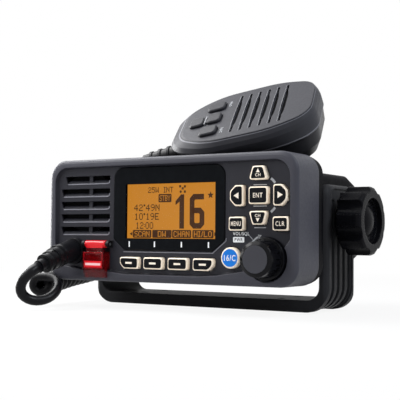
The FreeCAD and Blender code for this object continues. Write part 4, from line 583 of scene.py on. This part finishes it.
def rounded(points, radius):
    """An outline with its corners rounded."""
    out = []
    for i, here in enumerate(points):
        corner = Vector(here)
        back, on = Vector(points[i - 1]) - corner, Vector(points[(i + 1) % len(points)]) - corner
        reach = min(radius, back.length * CORNER_SHARE, on.length * CORNER_SHARE)
        a, b = corner + back.normalized() * reach, corner + on.normalized() * reach
        for k in range(CORNER_STEPS + 1):
            t = k / CORNER_STEPS
            out.append(tuple(a.lerp(corner, t).lerp(corner.lerp(b, t), t)))
    return out


def centred(width, height, x=0.0, z=0.0):
    """A rectangle's corners, counterclockwise."""
    w, h = width / 2, height / 2
    return [(x - w, z - h), (x + w, z - h), (x + w, z + h), (x - w, z + h)]


def arc(x, z, radius, start, end, steps=12):
    """Points on a circle from one turn to another, in degrees."""
    turns = [math.radians(start + (end - start) * k / steps) for k in range(steps + 1)]
    return [(x + radius * math.cos(t), z + radius * math.sin(t)) for t in turns]


def strip(path, width):
    """The outline of a line with a width, square at its ends."""
    line = [Vector(p) for p in path]
    left, right = [], []
    for i, here in enumerate(line):
        before = (here - line[i - 1]).normalized() if i else None
        after = (line[i + 1] - here).normalized() if i < len(line) - 1 else before
        before = before or after
        across = Vector((-(before + after).y, (before + after).x)).normalized()
        reach = width / 2 / max(MITRE, across.dot(Vector((-after.y, after.x))))
        left.append(tuple(here + across * reach))
        right.append(tuple(here - across * reach))
    return left + right[::-1]


def plate(name, outline, face, material, body="radio", thick=INK, plane=at):
    """A thin solid that stands on a face."""
    count = len(outline)
    verts = [plane(a, face - thick, b) for a, b in outline] + [plane(a, face, b) for a, b in outline]
    faces = [tuple(range(count)), tuple(reversed(range(count, 2 * count)))]
    faces += [(i, i + count, (i + 1) % count + count, (i + 1) % count) for i in range(count)]
    mesh = mesh_from(name, verts, faces, smooth=False)
    outward(mesh)
    return piece(name, mesh, material, body)


BOLD = 0.010  # how far the letters' strokes grow, in letter heights
LETTER_SPACE = 1.14


def words(name, text, box, face, material, body="radio", plane=at):
    """Flat lettering that fills a box of centre, width and height."""
    x, z, width, height = box
    curve = bpy.data.curves.new(name, "FONT")
    curve.body = text
    curve.resolution_u = 4
    curve.offset = BOLD
    curve.space_character = LETTER_SPACE
    obj = link(name + "_line", curve)
    mesh = bpy.data.meshes.new_from_object(obj.evaluated_get(bpy.context.evaluated_depsgraph_get()))
    bpy.data.objects.remove(obj)
    across, up = ([v.co[axis] for v in mesh.vertices] for axis in (0, 1))
    for v in mesh.vertices:
        a = (v.co.x - min(across)) / (max(across) - min(across)) - 0.5
        b = (v.co.y - min(up)) / (max(up) - min(up)) - 0.5
        v.co = plane(x + a * width, face - INK, z + b * height)
    mesh.name = name
    return piece(name, mesh, material, body)


ARROW_HEAD = ((0.55, 0.0), (-0.45, 0.55), (-0.45, -0.55))


def triangle(x, z, size, turn):
    """An arrow head that points at a turn in degrees."""
    cos, sin = math.cos(math.radians(turn)), math.sin(math.radians(turn))
    return [(x + (a * cos - b * sin) * size, z + (a * sin + b * cos) * size) for a, b in ARROW_HEAD]


# ---- keys on the panel

FACE_SLACK = 0.02 * MM  # how far behind its foremost vertex a node's face still counts
KEY_BORDER = 0.15
KEY_ROUND = 1.2
ARROW_TAPER = 0.195  # how much of its width an arrow key loses on each side of its narrow end
SIDE_CUT = 2.8
SOFT_CUT = 2.4
SOFT_DASH = (4.2, 1.0)
SIDE_ARROW = 2.9
CH_ARROW, CH_ARROW_OFF = 1.9, 1.0  # its size and how far it stands off the key's middle
CH_WORD, CH_WORD_OFF = (3.0, 1.5), 1.1
KEY_WORDS = (("key_enter", "ENT", 5.3), ("key_menu", "MENU", 5.6), ("key_clear", "CLR", 4.9))
KEY_WORD_HIGH = 2.3
BLUE_BORDER, BLUE_SIDES, BLUE_WORD = 0.35, 40, (6.6, 3.0)
KEY_KINDS = {
    "key_up": "up", "key_down": "down", "key_left": "left", "key_right": "right",
    "key_enter": "square", "key_menu": "square", "key_clear": "square",
    "soft_key_1": "first", "soft_key_2": "square", "soft_key_3": "square", "soft_key_4": "last",
}


def front_of(node):
    """x, z, width, height and depth of a node's foremost face, in the panel's frame."""
    verts = [v.co for v in frame["nodes"][node].data.vertices]
    front = min(v.y for v in verts)
    flat = [v for v in verts if v.y < front + FACE_SLACK]
    x0, x1, z0, z1 = (end(v[axis] for v in flat) / MM for axis in (0, 2) for end in (min, max))
    return (x0 + x1) / 2, (z0 + z1) / 2 - PANEL_Z, x1 - x0, z1 - z0, front / MM - PANEL_Y


def key_shape(kind, x, z, width, height):
    """The corners of a key's face, counterclockwise."""
    (left, low), (right, _), (_, high), _ = centred(width, height, x, z)
    taper = width * ARROW_TAPER
    shapes = {
        "square": [(left, low), (right, low), (right, high), (left, high)],
        "up": [(left, low), (right, low), (right - taper, high), (left + taper, high)],
        "down": [(left + taper, low), (right - taper, low), (right, high), (left, high)],
        "right": [(left, low), (right - SIDE_CUT, low), (right, low + SIDE_CUT), (right, high - SIDE_CUT),
                  (right - SIDE_CUT, high), (left, high)],
        "left": [(left + SIDE_CUT, low), (right, low), (right, high), (left + SIDE_CUT, high),
                 (left, high - SIDE_CUT), (left, low + SIDE_CUT)],
        "first": [(left + SOFT_CUT, low), (right, low), (right, high), (left, high), (left, low + SOFT_CUT)],
        "last": [(left, low), (right - SOFT_CUT, low), (right, low + SOFT_CUT), (right, high), (left, high)],
    }
    return shapes[kind]


def key_tops():
    """Black inlays in the cream keys, with their legends, and the blue one."""
    for node, kind in KEY_KINDS.items():
        x, z, width, height, front = front_of(node)
        outline = rounded(moved_in(key_shape(kind, x, z, width, height), KEY_BORDER), KEY_ROUND)
        plate(node + "_top", outline, front, "key_top", node)
        face = front - INK
        if node.startswith("soft"):
            plate(node + "_dash", centred(*SOFT_DASH, x, z), face, "key_print", node)
        elif kind in ("left", "right"):
            turn = 180 if kind == "left" else 0
            plate(node + "_arrow", triangle(x, z, SIDE_ARROW, turn), face, "key_print", node)
        elif kind in ("up", "down"):
            sign = 1 if kind == "up" else -1
            arrow = triangle(x, z + sign * CH_ARROW_OFF, CH_ARROW, 90 * sign)
            plate(node + "_arrow", arrow, face, "key_print", node)
            words(node + "_word", "CH", (x, z - sign * CH_WORD_OFF, *CH_WORD), face, "key_print", node)
    for node, text, width in KEY_WORDS:
        x, z, _, _, front = front_of(node)
        words(node + "_word", text, (x, z, width, KEY_WORD_HIGH), front - INK, "key_print", node)
    x, z, width, _, front = front_of("key_channel")
    disc = arc(x, z, width / 2 - BLUE_BORDER, 0, 360, BLUE_SIDES)[:-1]
    plate("key_channel_top", disc, front, "key_blue", "key_channel")
    words("key_channel_word", "16/C", (x, z, *BLUE_WORD), front - INK, "white_print", "key_channel")


key_tops()


# ---- prints and trims on the panel

LENS_TICKS, TICK_Z, TICK = (-22.8, -6.3, 10.7, 27.2), -13.0, (0.75, 2.9)
# The lens's lower lip and the louvres' lips carry pale strips of painted highlight
LENS_LIP = [(-27.0, -17.2), (29.4, -17.2), (37.3, -10.9), (37.4, -9.4)]
LENS_LIP_WIDTH, LENS_LIP_RISE = 0.42, 0.12
LOUVRE_LEFT, LOUVRE_RIGHT, FIRST_SHORTER = -69.2, -36.7, 3.0
LOUVRE_LIP_LOW, LOUVRE_LIP_WIDTH, LOUVRE_LIP_RISE = 4.4, 0.5, 0.15  # the first is below a louvre's top
LOUVRE_CURL = ((-1.4, 0.0), (-0.4, 0.4), (0.0, 1.6))  # how a lip's painted highlight ends, from the louvre's right end
ENTER_LINE, ENTER_LINE_OFF = (7.4, 0.45), 1.45
PAD_ARC_R, PAD_ARC_SPREAD, PAD_ARC_WIDTH = 10.2, 9, 1.2
DOWN_LINE, DOWN_LINE_OFF = (6.4, 0.4), 15.9
DIAL_WORD = (46.0, -7.3, 9.4, 2.0)
POWER_AT, POWER_BOX, POWER_ROUND, POWER_WORD = (44.6, -10.2), (6.4, 2.7), 0.5, (4.6, 1.6)
DIAL_LEADER, DIAL_LEADER_WIDTH = [(50.9, -8.3), (52.6, -10.0)], 0.3
DIAL_ARC_R, DIAL_ARC_ENDS, DIAL_ARC_WIDTH, DIAL_ARROW = 12.1, (112, 152), 0.75, 1.9
DIAL_BORDER, DIAL_SIDES, DIAL_INLAY_RISE = 0.25, 64, 0.12


def panel_trims():
    """The window's ticks, the pale strips of painted highlight on the lens's lower lip and the louvres' lips,
    and the grey lines round the arrow keys.
    """
    for i, x in enumerate(LENS_TICKS):
        plate(f"lens_tick_{i + 1}", centred(*TICK, x, TICK_Z), LENS_FACE, "white_print")
    plate("lens_lip_highlight", strip(LENS_LIP, LENS_LIP_WIDTH), FACE, "lip_highlight", thick=LENS_LIP_RISE)
    for i, top in enumerate(LOUVRES):
        low = top - LOUVRE_LIP_LOW
        left = LOUVRE_LEFT + (FIRST_SHORTER if i == 0 else 0.0)
        path = [(left, low)] + [(LOUVRE_RIGHT + x, low + z) for x, z in LOUVRE_CURL]
        plate(f"louvre_lip_highlight_{i + 1}", strip(path, LOUVRE_LIP_WIDTH), FACE, "lip_highlight", thick=LOUVRE_LIP_RISE)
    x, z, _, height, _ = front_of("key_enter")
    for name, sign in (("upper", 1), ("lower", -1)):
        line = centred(*ENTER_LINE, x, z + sign * (height / 2 + ENTER_LINE_OFF))
        plate(f"enter_line_{name}", line, FACE, "grey_print")
    for name, turn in (("low", -45), ("high", 45)):
        bow = arc(x, z, PAD_ARC_R, turn - PAD_ARC_SPREAD, turn + PAD_ARC_SPREAD, 6)
        plate(f"pad_arc_{name}", strip(bow, PAD_ARC_WIDTH), FACE, "grey_print")
    plate("down_line", centred(*DOWN_LINE, x, z - DOWN_LINE_OFF), FACE, "grey_print")


def dial_prints():
    """The dial's words, their leader and the grey arc with an arrow head at each end."""
    x, z, width, _, front = front_of("dial_knob")
    words("dial_word", "VOL/SQL", DIAL_WORD, FACE, "white_print")
    plate("power_box", rounded(centred(*POWER_BOX, *POWER_AT), POWER_ROUND), FACE, "white_print")
    words("power_word", "PWR", (*POWER_AT, *POWER_WORD), FACE - INK, "key_top")
    plate("dial_leader", strip(DIAL_LEADER, DIAL_LEADER_WIDTH), FACE, "grey_print")
    plate("dial_arc", strip(arc(x, z, DIAL_ARC_R, *DIAL_ARC_ENDS), DIAL_ARC_WIDTH), FACE, "grey_print")
    for name, turn, ahead in zip(("high", "low"), DIAL_ARC_ENDS, (-90, 90)):
        tip = arc(x, z, DIAL_ARC_R, turn, turn, 1)[0]
        plate(f"dial_arc_{name}", triangle(*tip, DIAL_ARROW, turn + ahead), FACE, "grey_print")
    disc = arc(x, z, width / 2 - DIAL_BORDER, 0, 360, DIAL_SIDES)[:-1]
    plate("dial_inlay", disc, front, "dial_cap", "dial_knob", DIAL_INLAY_RISE)


panel_trims()
dial_prints()


# ---- display

DOT_ROWS = 7  # every letter is this many rows of dots from its top
GLYPHS = {
    "0": "01110 10001 10001 10001 10001 10001 01110", "1": "00100 01100 00100 00100 00100 00100 01110",
    "2": "01110 10001 00001 00110 01000 10000 11111", "4": "00010 00110 01010 10010 11111 00010 00010",
    "5": "11111 10000 11110 00001 00001 10001 01110", "9": "01110 10001 10001 01111 00001 00010 01100",
    "A": "01110 10001 10001 11111 10001 10001 10001", "B": "11110 10001 10001 11110 10001 10001 11110",
    "C": "01110 10001 10000 10000 10000 10001 01110", "D": "11110 10001 10001 10001 10001 10001 11110",
    "E": "11111 10000 10000 11110 10000 10000 11111", "H": "10001 10001 10001 11111 10001 10001 10001",
    "I": "111 010 010 010 010 010 111", "L": "10000 10000 10000 10000 10000 10000 11111",
    "N": "10001 11001 10101 10101 10011 10001 10001", "O": "01110 10001 10001 10001 10001 10001 01110",
    "S": "01111 10000 10000 01110 00001 00001 11110", "T": "11111 00100 00100 00100 00100 00100 00100",
    "W": "10001 10001 10001 10101 10101 11011 10001", "Y": "10001 10001 01010 00100 00100 00100 00100",
    "/": "001 001 010 010 010 100 100", ":": "0 0 1 0 1 0 0", "°": "11 11 00 00 00 00 00",
}
DOT = 1.04  # how far a dot fills its cell
DISPLAY_TEXTS = (  # text, left, right, top and low, and whether it is light on a dark bar
    ("25W", -13.2, -6.3, 17.3, 14.3, False), ("INT", -3.1, 3.0, 17.3, 14.3, False),
    ("STBY", -5.6, 1.1, 12.9, 9.9, True), ("42°49N", -22.3, -5.7, 8.2, 4.7, False),
    ("10°19E", -22.0, -6.1, 3.5, 0.0, False), ("12:00", -21.1, -9.7, -1.3, -4.8, False),
    ("SCAN", -21.9, -12.0, -6.0, -9.0, True), ("DW", -6.6, -1.5, -6.0, -9.0, True),
    ("CHAN", 3.5, 13.4, -6.0, -9.0, True), ("HI/LO", 16.2, 27.0, -6.0, -9.0, True),
)
DISPLAY_BARS = (  # left, right, top and low of the dark bars behind the light texts
    (-6.4, 1.9, 13.6, 9.2), (-23.0, -10.9, -5.4, -9.6), (-10.2, 2.1, -5.4, -9.6), (2.5, 14.4, -5.4, -9.6),
    (15.2, 28.0, -5.4, -9.6),
)
BAR_ROUND = 0.7
DISPLAY_ONE = [(7.0, -4.7), (9.9, -4.7), (9.9, 13.2), (8.0, 13.2), (4.5, 9.7), (4.5, 7.6), (7.0, 9.4)]
DISPLAY_SIX = [(22.1, 11.8), (16.2, 11.8), (14.85, 10.4), (14.85, -1.9), (16.2, -3.25), (19.6, -3.25),
               (20.95, -1.9), (20.95, 3.3), (19.6, 4.7), (15.0, 4.7)]
SIX_STROKE = 2.9
STAR_AT, STAR_CORNERS, STAR_TIPS, STAR_NOTCHES = (26.1, 12.5), 10, 2.0, 0.85
DISPLAY_MARKS = ((7.3, 17.4, 45), (8.9, 16.3, 45), (10.3, 14.6, 45), (7.7, 14.6, 0), (10.3, 17.3, 45))
MARK = 0.85
DISPLAY_ARROWS, ARROWS_Z, DISPLAY_ARROW = (("left", -24.2, 180), ("right", 29.3, 0)), -7.5, 1.9


def dots(text, left, right, top, low):
    """The lit cells of a line of dot-matrix text, as their corners."""
    rows = [GLYPHS[c].split() for c in text]
    columns = sum(len(r[0]) + 1 for r in rows) - 1
    wide, high = (right - left) / columns, (top - low) / DOT_ROWS
    cells, x = [], left
    for glyph in rows:
        for j, row in enumerate(glyph):
            for i, cell in enumerate(row):
                if cell == "1":
                    middle = x + (i + 0.5) * wide, top - (j + 0.5) * high
                    cells.append(centred(wide * DOT, high * DOT, *middle))
        x += (len(glyph[0]) + 1) * wide
    return cells


def cells_mesh(name, cells, face, material):
    verts, faces = [], []
    for cell in cells:
        faces.append(tuple(range(len(verts), len(verts) + 4)))
        verts += [at(a, face, b) for a, b in cell]
    return piece(name, mesh_from(name, verts, faces, smooth=False), material, "radio")


def display():
    """The lit display's texts, bars, large channel number and signs."""
    dark, light = [], []
    for text, left, right, top, low, inverse in DISPLAY_TEXTS:
        (light if inverse else dark).extend(dots(text, left, right, top, low))
    cells_mesh("display_dark", dark, LCD_FACE - INK, "lcd_ink")
    cells_mesh("display_light", light, LCD_FACE - 3 * INK, "lcd_light")
    for i, (left, right, top, low) in enumerate(DISPLAY_BARS):
        bar = rounded(centred(right - left, top - low, (left + right) / 2, (top + low) / 2), BAR_ROUND)
        plate(f"display_bar_{i + 1}", bar, LCD_FACE, "lcd_ink")
    plate("display_one", DISPLAY_ONE, LCD_FACE, "lcd_ink")
    plate("display_six", strip(DISPLAY_SIX, SIX_STROKE), LCD_FACE, "lcd_ink")
    star = []
    for k in range(STAR_CORNERS):
        turn = 90 + 360 / STAR_CORNERS * k
        star.append(arc(*STAR_AT, STAR_NOTCHES if k % 2 else STAR_TIPS, turn, turn, 1)[0])
    plate("display_star", star, LCD_FACE, "lcd_ink")
    for i, (x, z, turn) in enumerate(DISPLAY_MARKS):
        plate(f"display_mark_{i + 1}", arc(x, z, MARK, turn, turn + 360, 4)[:-1], LCD_FACE, "lcd_ink")
    for end, x, turn in DISPLAY_ARROWS:
        plate(f"display_arrow_{end}", triangle(x, ARROWS_Z, DISPLAY_ARROW, turn), LCD_FACE, "lcd_ink")


display()


# ---- distress cover

COVER_X, COVER_LEDGE = -43.3, -26.6  # its middle and its lower ledge
COVER_BAND, COVER_BAND_UP, COVER_BAND_ROUND = (13.1, 3.5), 2.5, 0.4
COVER_LABEL = (10.4, 1.3)
COVER_STRIPS = (  # name, size, and place from the middle and the ledge
    ("foot", (13.3, 0.6), (0.0, 0.5)), ("head", (13.3, 0.6), (0.0, 8.7)),
    ("rail_left", (0.6, 8.0), (-6.35, 4.6)), ("bed_left", (2.0, 9.0), (-5.95, 4.5)),
    ("rail_right", (0.6, 8.0), (6.35, 4.6)), ("bed_right", (2.0, 9.0), (5.95, 4.5)),
    ("bed_low", (14.3, 4.4), (0.0, -2.0)), ("bed_high", (14.3, 3.6), (0.0, 10.4)),
)


def cover_trims():
    """The flip cover's bright band with a plain label, its deep red edges, and black plates of painted shade
    under and round it.
    """
    node = "distress_cover"
    front = front_of(node)[4]
    middle = COVER_X, COVER_LEDGE + COVER_BAND_UP
    band = rounded(centred(*COVER_BAND, *middle), COVER_BAND_ROUND)
    plate("cover_band", band, front, "cover_red", node)
    plate("cover_label", centred(*COVER_LABEL, *middle), front - INK, "pale_print", node)
    for name, size, (x, z) in COVER_STRIPS:
        outline = centred(*size, COVER_X + x, COVER_LEDGE + z)
        # Black plates of painted shade on the face under and round the cover
        if name.startswith("bed"):
            plate(f"cover_{name}", outline, FACE, "key_top")
        else:
            plate(f"cover_{name}", outline, front, "cover_edge", node)


cover_trims()


# ---- strain relief

RELIEF_BEND, RELIEF_END = at(-60.0, -12.0, -18.9), at(-60.0, -26.0, -23.9)
RELIEF_WIDE, RELIEF_NARROW = 5.8 * MM, 4.3 * MM
RELIEF_RINGS = 4
RING_RISE, RING_WIDTH = 0.6 * MM, 1.6 * MM
WEB_SUNK, WEB_RISE = 0.3 * MM, RING_RISE * 0.8
WEB_START, WEB_END = RING_WIDTH * 0.9, RING_WIDTH * 0.1  # past the near sides of its two rings
WEB_SPREAD, WEB_TURN = 52, 30  # half the width of a web and the place of the first one, in degrees
WEB_STEPS = 8


def relief_webs():
    """Bridges between the strain relief's rings, which leave long slots between them."""
    axis = RELIEF_END - RELIEF_BEND
    long, along = axis.length, axis.normalized()
    side = Vector((1, 0, 0))
    other = along.cross(side)
    count = WEB_STEPS + 1
    loop = list(range(count)) + list(range(2 * count - 1, count - 1, -1))
    for i in range(RELIEF_RINGS - 1):
        start = long * (i + 0.5) / RELIEF_RINGS + WEB_START
        end = long * (i + 1.5) / RELIEF_RINGS + WEB_END
        for half in (0, 1):
            middle = 90 * (i % 2) + 180 * half + WEB_TURN  # crosswise from one gap to the next
            verts = []
            for far in (start, end):
                core = RELIEF_WIDE + (RELIEF_NARROW - RELIEF_WIDE) * far / long
                for radius in (core - WEB_SUNK, core + WEB_RISE):
                    for a, b in arc(0, 0, radius, middle - WEB_SPREAD, middle + WEB_SPREAD, WEB_STEPS):
                        verts.append(RELIEF_BEND + along * far + side * a + other * b)
            faces = [tuple(loop), tuple(k + 2 * count for k in reversed(loop))]
            faces += [(a, b, b + 2 * count, a + 2 * count) for a, b in zip(loop, loop[1:] + loop[:1])]
            mesh = mesh_from(f"relief_web_{i + 1}_{half + 1}", verts, faces)
            outward(mesh)
            sharpen(mesh)
            piece(mesh.name, mesh, "gland", "radio")


relief_webs()


# ---- microphone

MIC_FACE = 0.0
MIC_GROOVE_PITCH, MIC_GROOVE_W = 5.5, 1.5
MIC_GROOVES = [(i - 2.5) * MIC_GROOVE_PITCH for i in range(6)]
MIC_GROOVE_END, MIC_SLIT_END, MIC_GROOVE_FLOOR = 20.9, 13.0, 1.1
GROOVE_SHADE = (1.4, 0.05)  # width and thickness of the painted shade on the floor at each end of a groove
SHADE_FLANKS = (("right", 1, 0.8), ("left", -1, -0.3))  # name, side and width of the painted shade beside a groove
FLANK_REACH = 14.0
FLANK_STEPS, LIT_STEPS = 12, range(-21, 22, 3)
LIT_OFF, LIT_BOW, LIT_WIDTH = 0.12, 0.3, 0.26  # the painted highlight beside a left flank
MIC_FELT = ((34, 32), 4, 2.3, 0.4)  # size, corners, depth and thickness of the felt behind the slits
MIC_RIDGE = ((0.7, 8.6, -31.5, -1.8), 0.3, 1.1)  # its size and place, corners and height
MIC_WORDS = (("low", "16/C", -19.6, -16.5), ("high", "HI/LO", -19.6, 14.0))
MIC_WORD = (5.6, 1.7)


def swell(v):
    """1 in the middle of a flank and 0 at its ends."""
    return 1 - (v / FLANK_REACH) ** 4


def shade_flank(u, width):
    """A sliver of painted shade beside a groove, widest in its middle."""
    inner = [FLANK_REACH * (k / (FLANK_STEPS / 2) - 1) for k in range(1, FLANK_STEPS)]
    return [(u, -FLANK_REACH)] + [(u + width * swell(v), v) for v in inner] + [(u, FLANK_REACH)]


def mic_plate(name, outline, depth, material, thick=INK):
    plate(name, outline, depth, material, "mic", thick, on_mic)


def mic_grille():
    """Painted shade on the floors at the ends of the grooves, felt behind their slits, and painted shade and
    a painted highlight in shaped strips beside them.
    """
    edge = MIC_GROOVE_W / 2
    long = MIC_GROOVE_END - MIC_SLIT_END
    for i, u in enumerate(MIC_GROOVES):
        for name, side, width in SHADE_FLANKS:
            mic_plate(f"mic_flank_{i + 1}_{name}", shade_flank(u + side * edge, width), MIC_FACE, "felt_and_shade")
        # A thin strip of painted highlight beside the left sliver
        lit = [(u - edge - LIT_OFF - LIT_BOW * max(0.0, swell(v)), v) for v in LIT_STEPS]
        mic_plate(f"mic_flank_{i + 1}_lit", strip(lit, LIT_WIDTH), MIC_FACE, "mic_light")
        # Painted shade on the groove's floor past each end of its slit
        for name, side in (("near", -1), ("far", 1)):
            width, thick = GROOVE_SHADE
            floor = centred(width, long, u, side * (MIC_SLIT_END + long / 2))
            mic_plate(f"mic_groove_shade_{i + 1}_{name}", floor, MIC_GROOVE_FLOOR, "felt_and_shade", thick)
    size, corner, depth, thick = MIC_FELT
    mic_plate("mic_felt", rounded(centred(*size), corner), depth + thick, "felt_and_shade", thick)


def mic_details():
    """The ridge between two keys, and the words beside the keys, which read across the microphone."""
    box, corner, rise = MIC_RIDGE
    mic_plate("mic_key_ridge", rounded(centred(*box), corner), MIC_FACE, "mic_light", rise)
    for name, text, u, v in MIC_WORDS:
        def plane(a, depth, b, u=u, v=v):
            return on_mic(u + b, depth, v - a)
        words(f"mic_word_{name}", text, (0.0, 0.0, *MIC_WORD), MIC_FACE, "grey_print", "mic", plane)


mic_grille()
mic_details()


# ---- stage, light and camera

FLOOR_RADIUS, FLOOR_SIDES, FLOOR_DROP = 4.0, 96, 0.0004
FLOOR_GREYS = ((0.56, 0.56, 0.56, 1), (0.6, 0.6, 0.6, 1))
FLOOR_NEAR = 0.90  # how white the floor is near the object, where its shadow shows
FLOOR_FADE = (0.12, 0.6)  # where it starts to grow whiter, and where it is all white
WHITE_RAYS = ("Is Camera Ray", "Is Glossy Ray", "Is Transmission Ray")  # rays that find plain white
SKY_TINT, SKY_LIGHT = (0.93, 0.96, 1.0, 1), 0.18
WHITE = (1, 1, 1, 1)
LAMPS = (  # name, place, power, size, what it points at and colour
    ("key", (-0.24, -0.08, 0.33), 3.2, 0.34, (-0.04, -0.05, 0.08), (1, 1, 1)),
    ("left", (-0.60, 0.04, 0.16), 4.2, 0.34, (-0.07, -0.05, 0.05), (1, 1, 1)),
    ("side", (0.52, -0.10, 0.52), 3.6, 0.34, (0.08, -0.04, 0.05), (0.86, 0.92, 1.0)),
    ("front", (-0.36, -0.68, 0.56), 2.6, 0.5, (0, -0.03, 0.05), (1, 1, 1)),
    ("top", (-0.05, 0.10, 0.9), 1.0, 0.7, (0, -0.03, 0.05), (1, 1, 1)),
)
# The camera as solved from the photo: place, then turn, rise and roll in degrees, and its lens
CAMERA_AT = (0.28270, -0.46457, 0.03854)
CAMERA_TURN = (32.544, 2.264, 0.438)
CAMERA_LENS, CAMERA_SENSOR = 85.47, 36.0
CAMERA_CLIP = (0.01, 20.0)


def stage():
    """A pale floor that keeps the object's shadow and is plain white further out."""
    bpy.ops.mesh.primitive_circle_add(vertices=FLOOR_SIDES, radius=FLOOR_RADIUS, fill_type="NGON",
                                      location=(0, 0, -FLOOR_DROP))
    floor = bpy.context.object
    floor.name = "floor"
    n = Nodes("floor")
    n.put(n.shader, "Base_Color", n.mix(n.spread(n.noise(3.0), 0, 1), *FLOOR_GREYS))
    n.put(n.shader, "Roughness", 0.8)
    n.shader.inputs["Specular IOR Level"].default_value = 0.1
    rays = n.add("ShaderNodeLightPath")
    camera_ray, glossy, through = ((rays, name) for name in WHITE_RAYS)
    seen = n.math("MAXIMUM", camera_ray, n.math("MAXIMUM", glossy, through))
    glow = n.add("ShaderNodeEmission", Color=WHITE, Strength=1.0)
    place = n.add("ShaderNodeVectorMath", i0=(n.coords, "Object"))
    place.operation = "LENGTH"
    far = n.spread((place, "Value"), FLOOR_NEAR, 1.0, *FLOOR_FADE)
    mixed = n.add("ShaderNodeMixShader", i0=n.math("MULTIPLY", seen, far))
    n.join(n.shader, 0, mixed, 1)
    n.join(glow, 0, mixed, 2)
    n.join(mixed, 0, n.out, "Surface")
    dress(floor, "floor")


def world():
    """A faint even light, and plain white where the background is seen."""
    studio = bpy.data.worlds.new("studio")
    bpy.context.scene.world = studio
    studio.use_nodes = True
    tree = studio.node_tree
    tree.nodes.clear()
    out = tree.nodes.new("ShaderNodeOutputWorld")
    rays = tree.nodes.new("ShaderNodeLightPath")
    seen = rays.outputs[WHITE_RAYS[0]]
    for name in WHITE_RAYS[1:]:
        most = tree.nodes.new("ShaderNodeMath")
        most.operation = "MAXIMUM"
        tree.links.new(seen, most.inputs[0])
        tree.links.new(rays.outputs[name], most.inputs[1])
        seen = most.outputs[0]
    mixed = tree.nodes.new("ShaderNodeMixShader")
    tree.links.new(seen, mixed.inputs[0])
    for slot, (tint, strength) in enumerate(((SKY_TINT, SKY_LIGHT), (WHITE, 1.0)), start=1):
        light = tree.nodes.new("ShaderNodeBackground")
        light.inputs["Color"].default_value = tint
        light.inputs["Strength"].default_value = strength
        tree.links.new(light.outputs[0], mixed.inputs[slot])
    tree.links.new(mixed.outputs[0], out.inputs["Surface"])


def lamp(name, place, power, size, target, colour):
    light = bpy.data.lights.new(name, "AREA")
    light.energy = power
    light.shape = "DISK"
    light.size = size
    light.color = colour
    obj = link(name, light)
    obj.location = place
    obj.rotation_euler = (Vector(target) - Vector(place)).to_track_quat("-Z", "Y").to_euler()


def camera():
    turn, rise, roll = (math.radians(angle) for angle in CAMERA_TURN)
    right = Vector((math.cos(turn), math.sin(turn), 0))
    ahead = Vector((-math.sin(turn) * math.cos(rise), math.cos(turn) * math.cos(rise), math.sin(rise)))
    up = right.cross(ahead)
    across = right * math.cos(roll) + up * math.sin(roll)
    above = up * math.cos(roll) - right * math.sin(roll)
    data = bpy.data.cameras.new("camera")
    data.sensor_width = CAMERA_SENSOR
    data.lens = CAMERA_LENS
    data.clip_start, data.clip_end = CAMERA_CLIP
    obj = link("camera", data)
    obj.matrix_world = Matrix((across, above, -ahead)).transposed().to_4x4()
    obj.matrix_world.translation = CAMERA_AT
    bpy.context.scene.camera = obj


stage()
world()
for settings in LAMPS:
    lamp(*settings)
camera()
bpy.context.scene.view_settings.view_transform = "Standard"
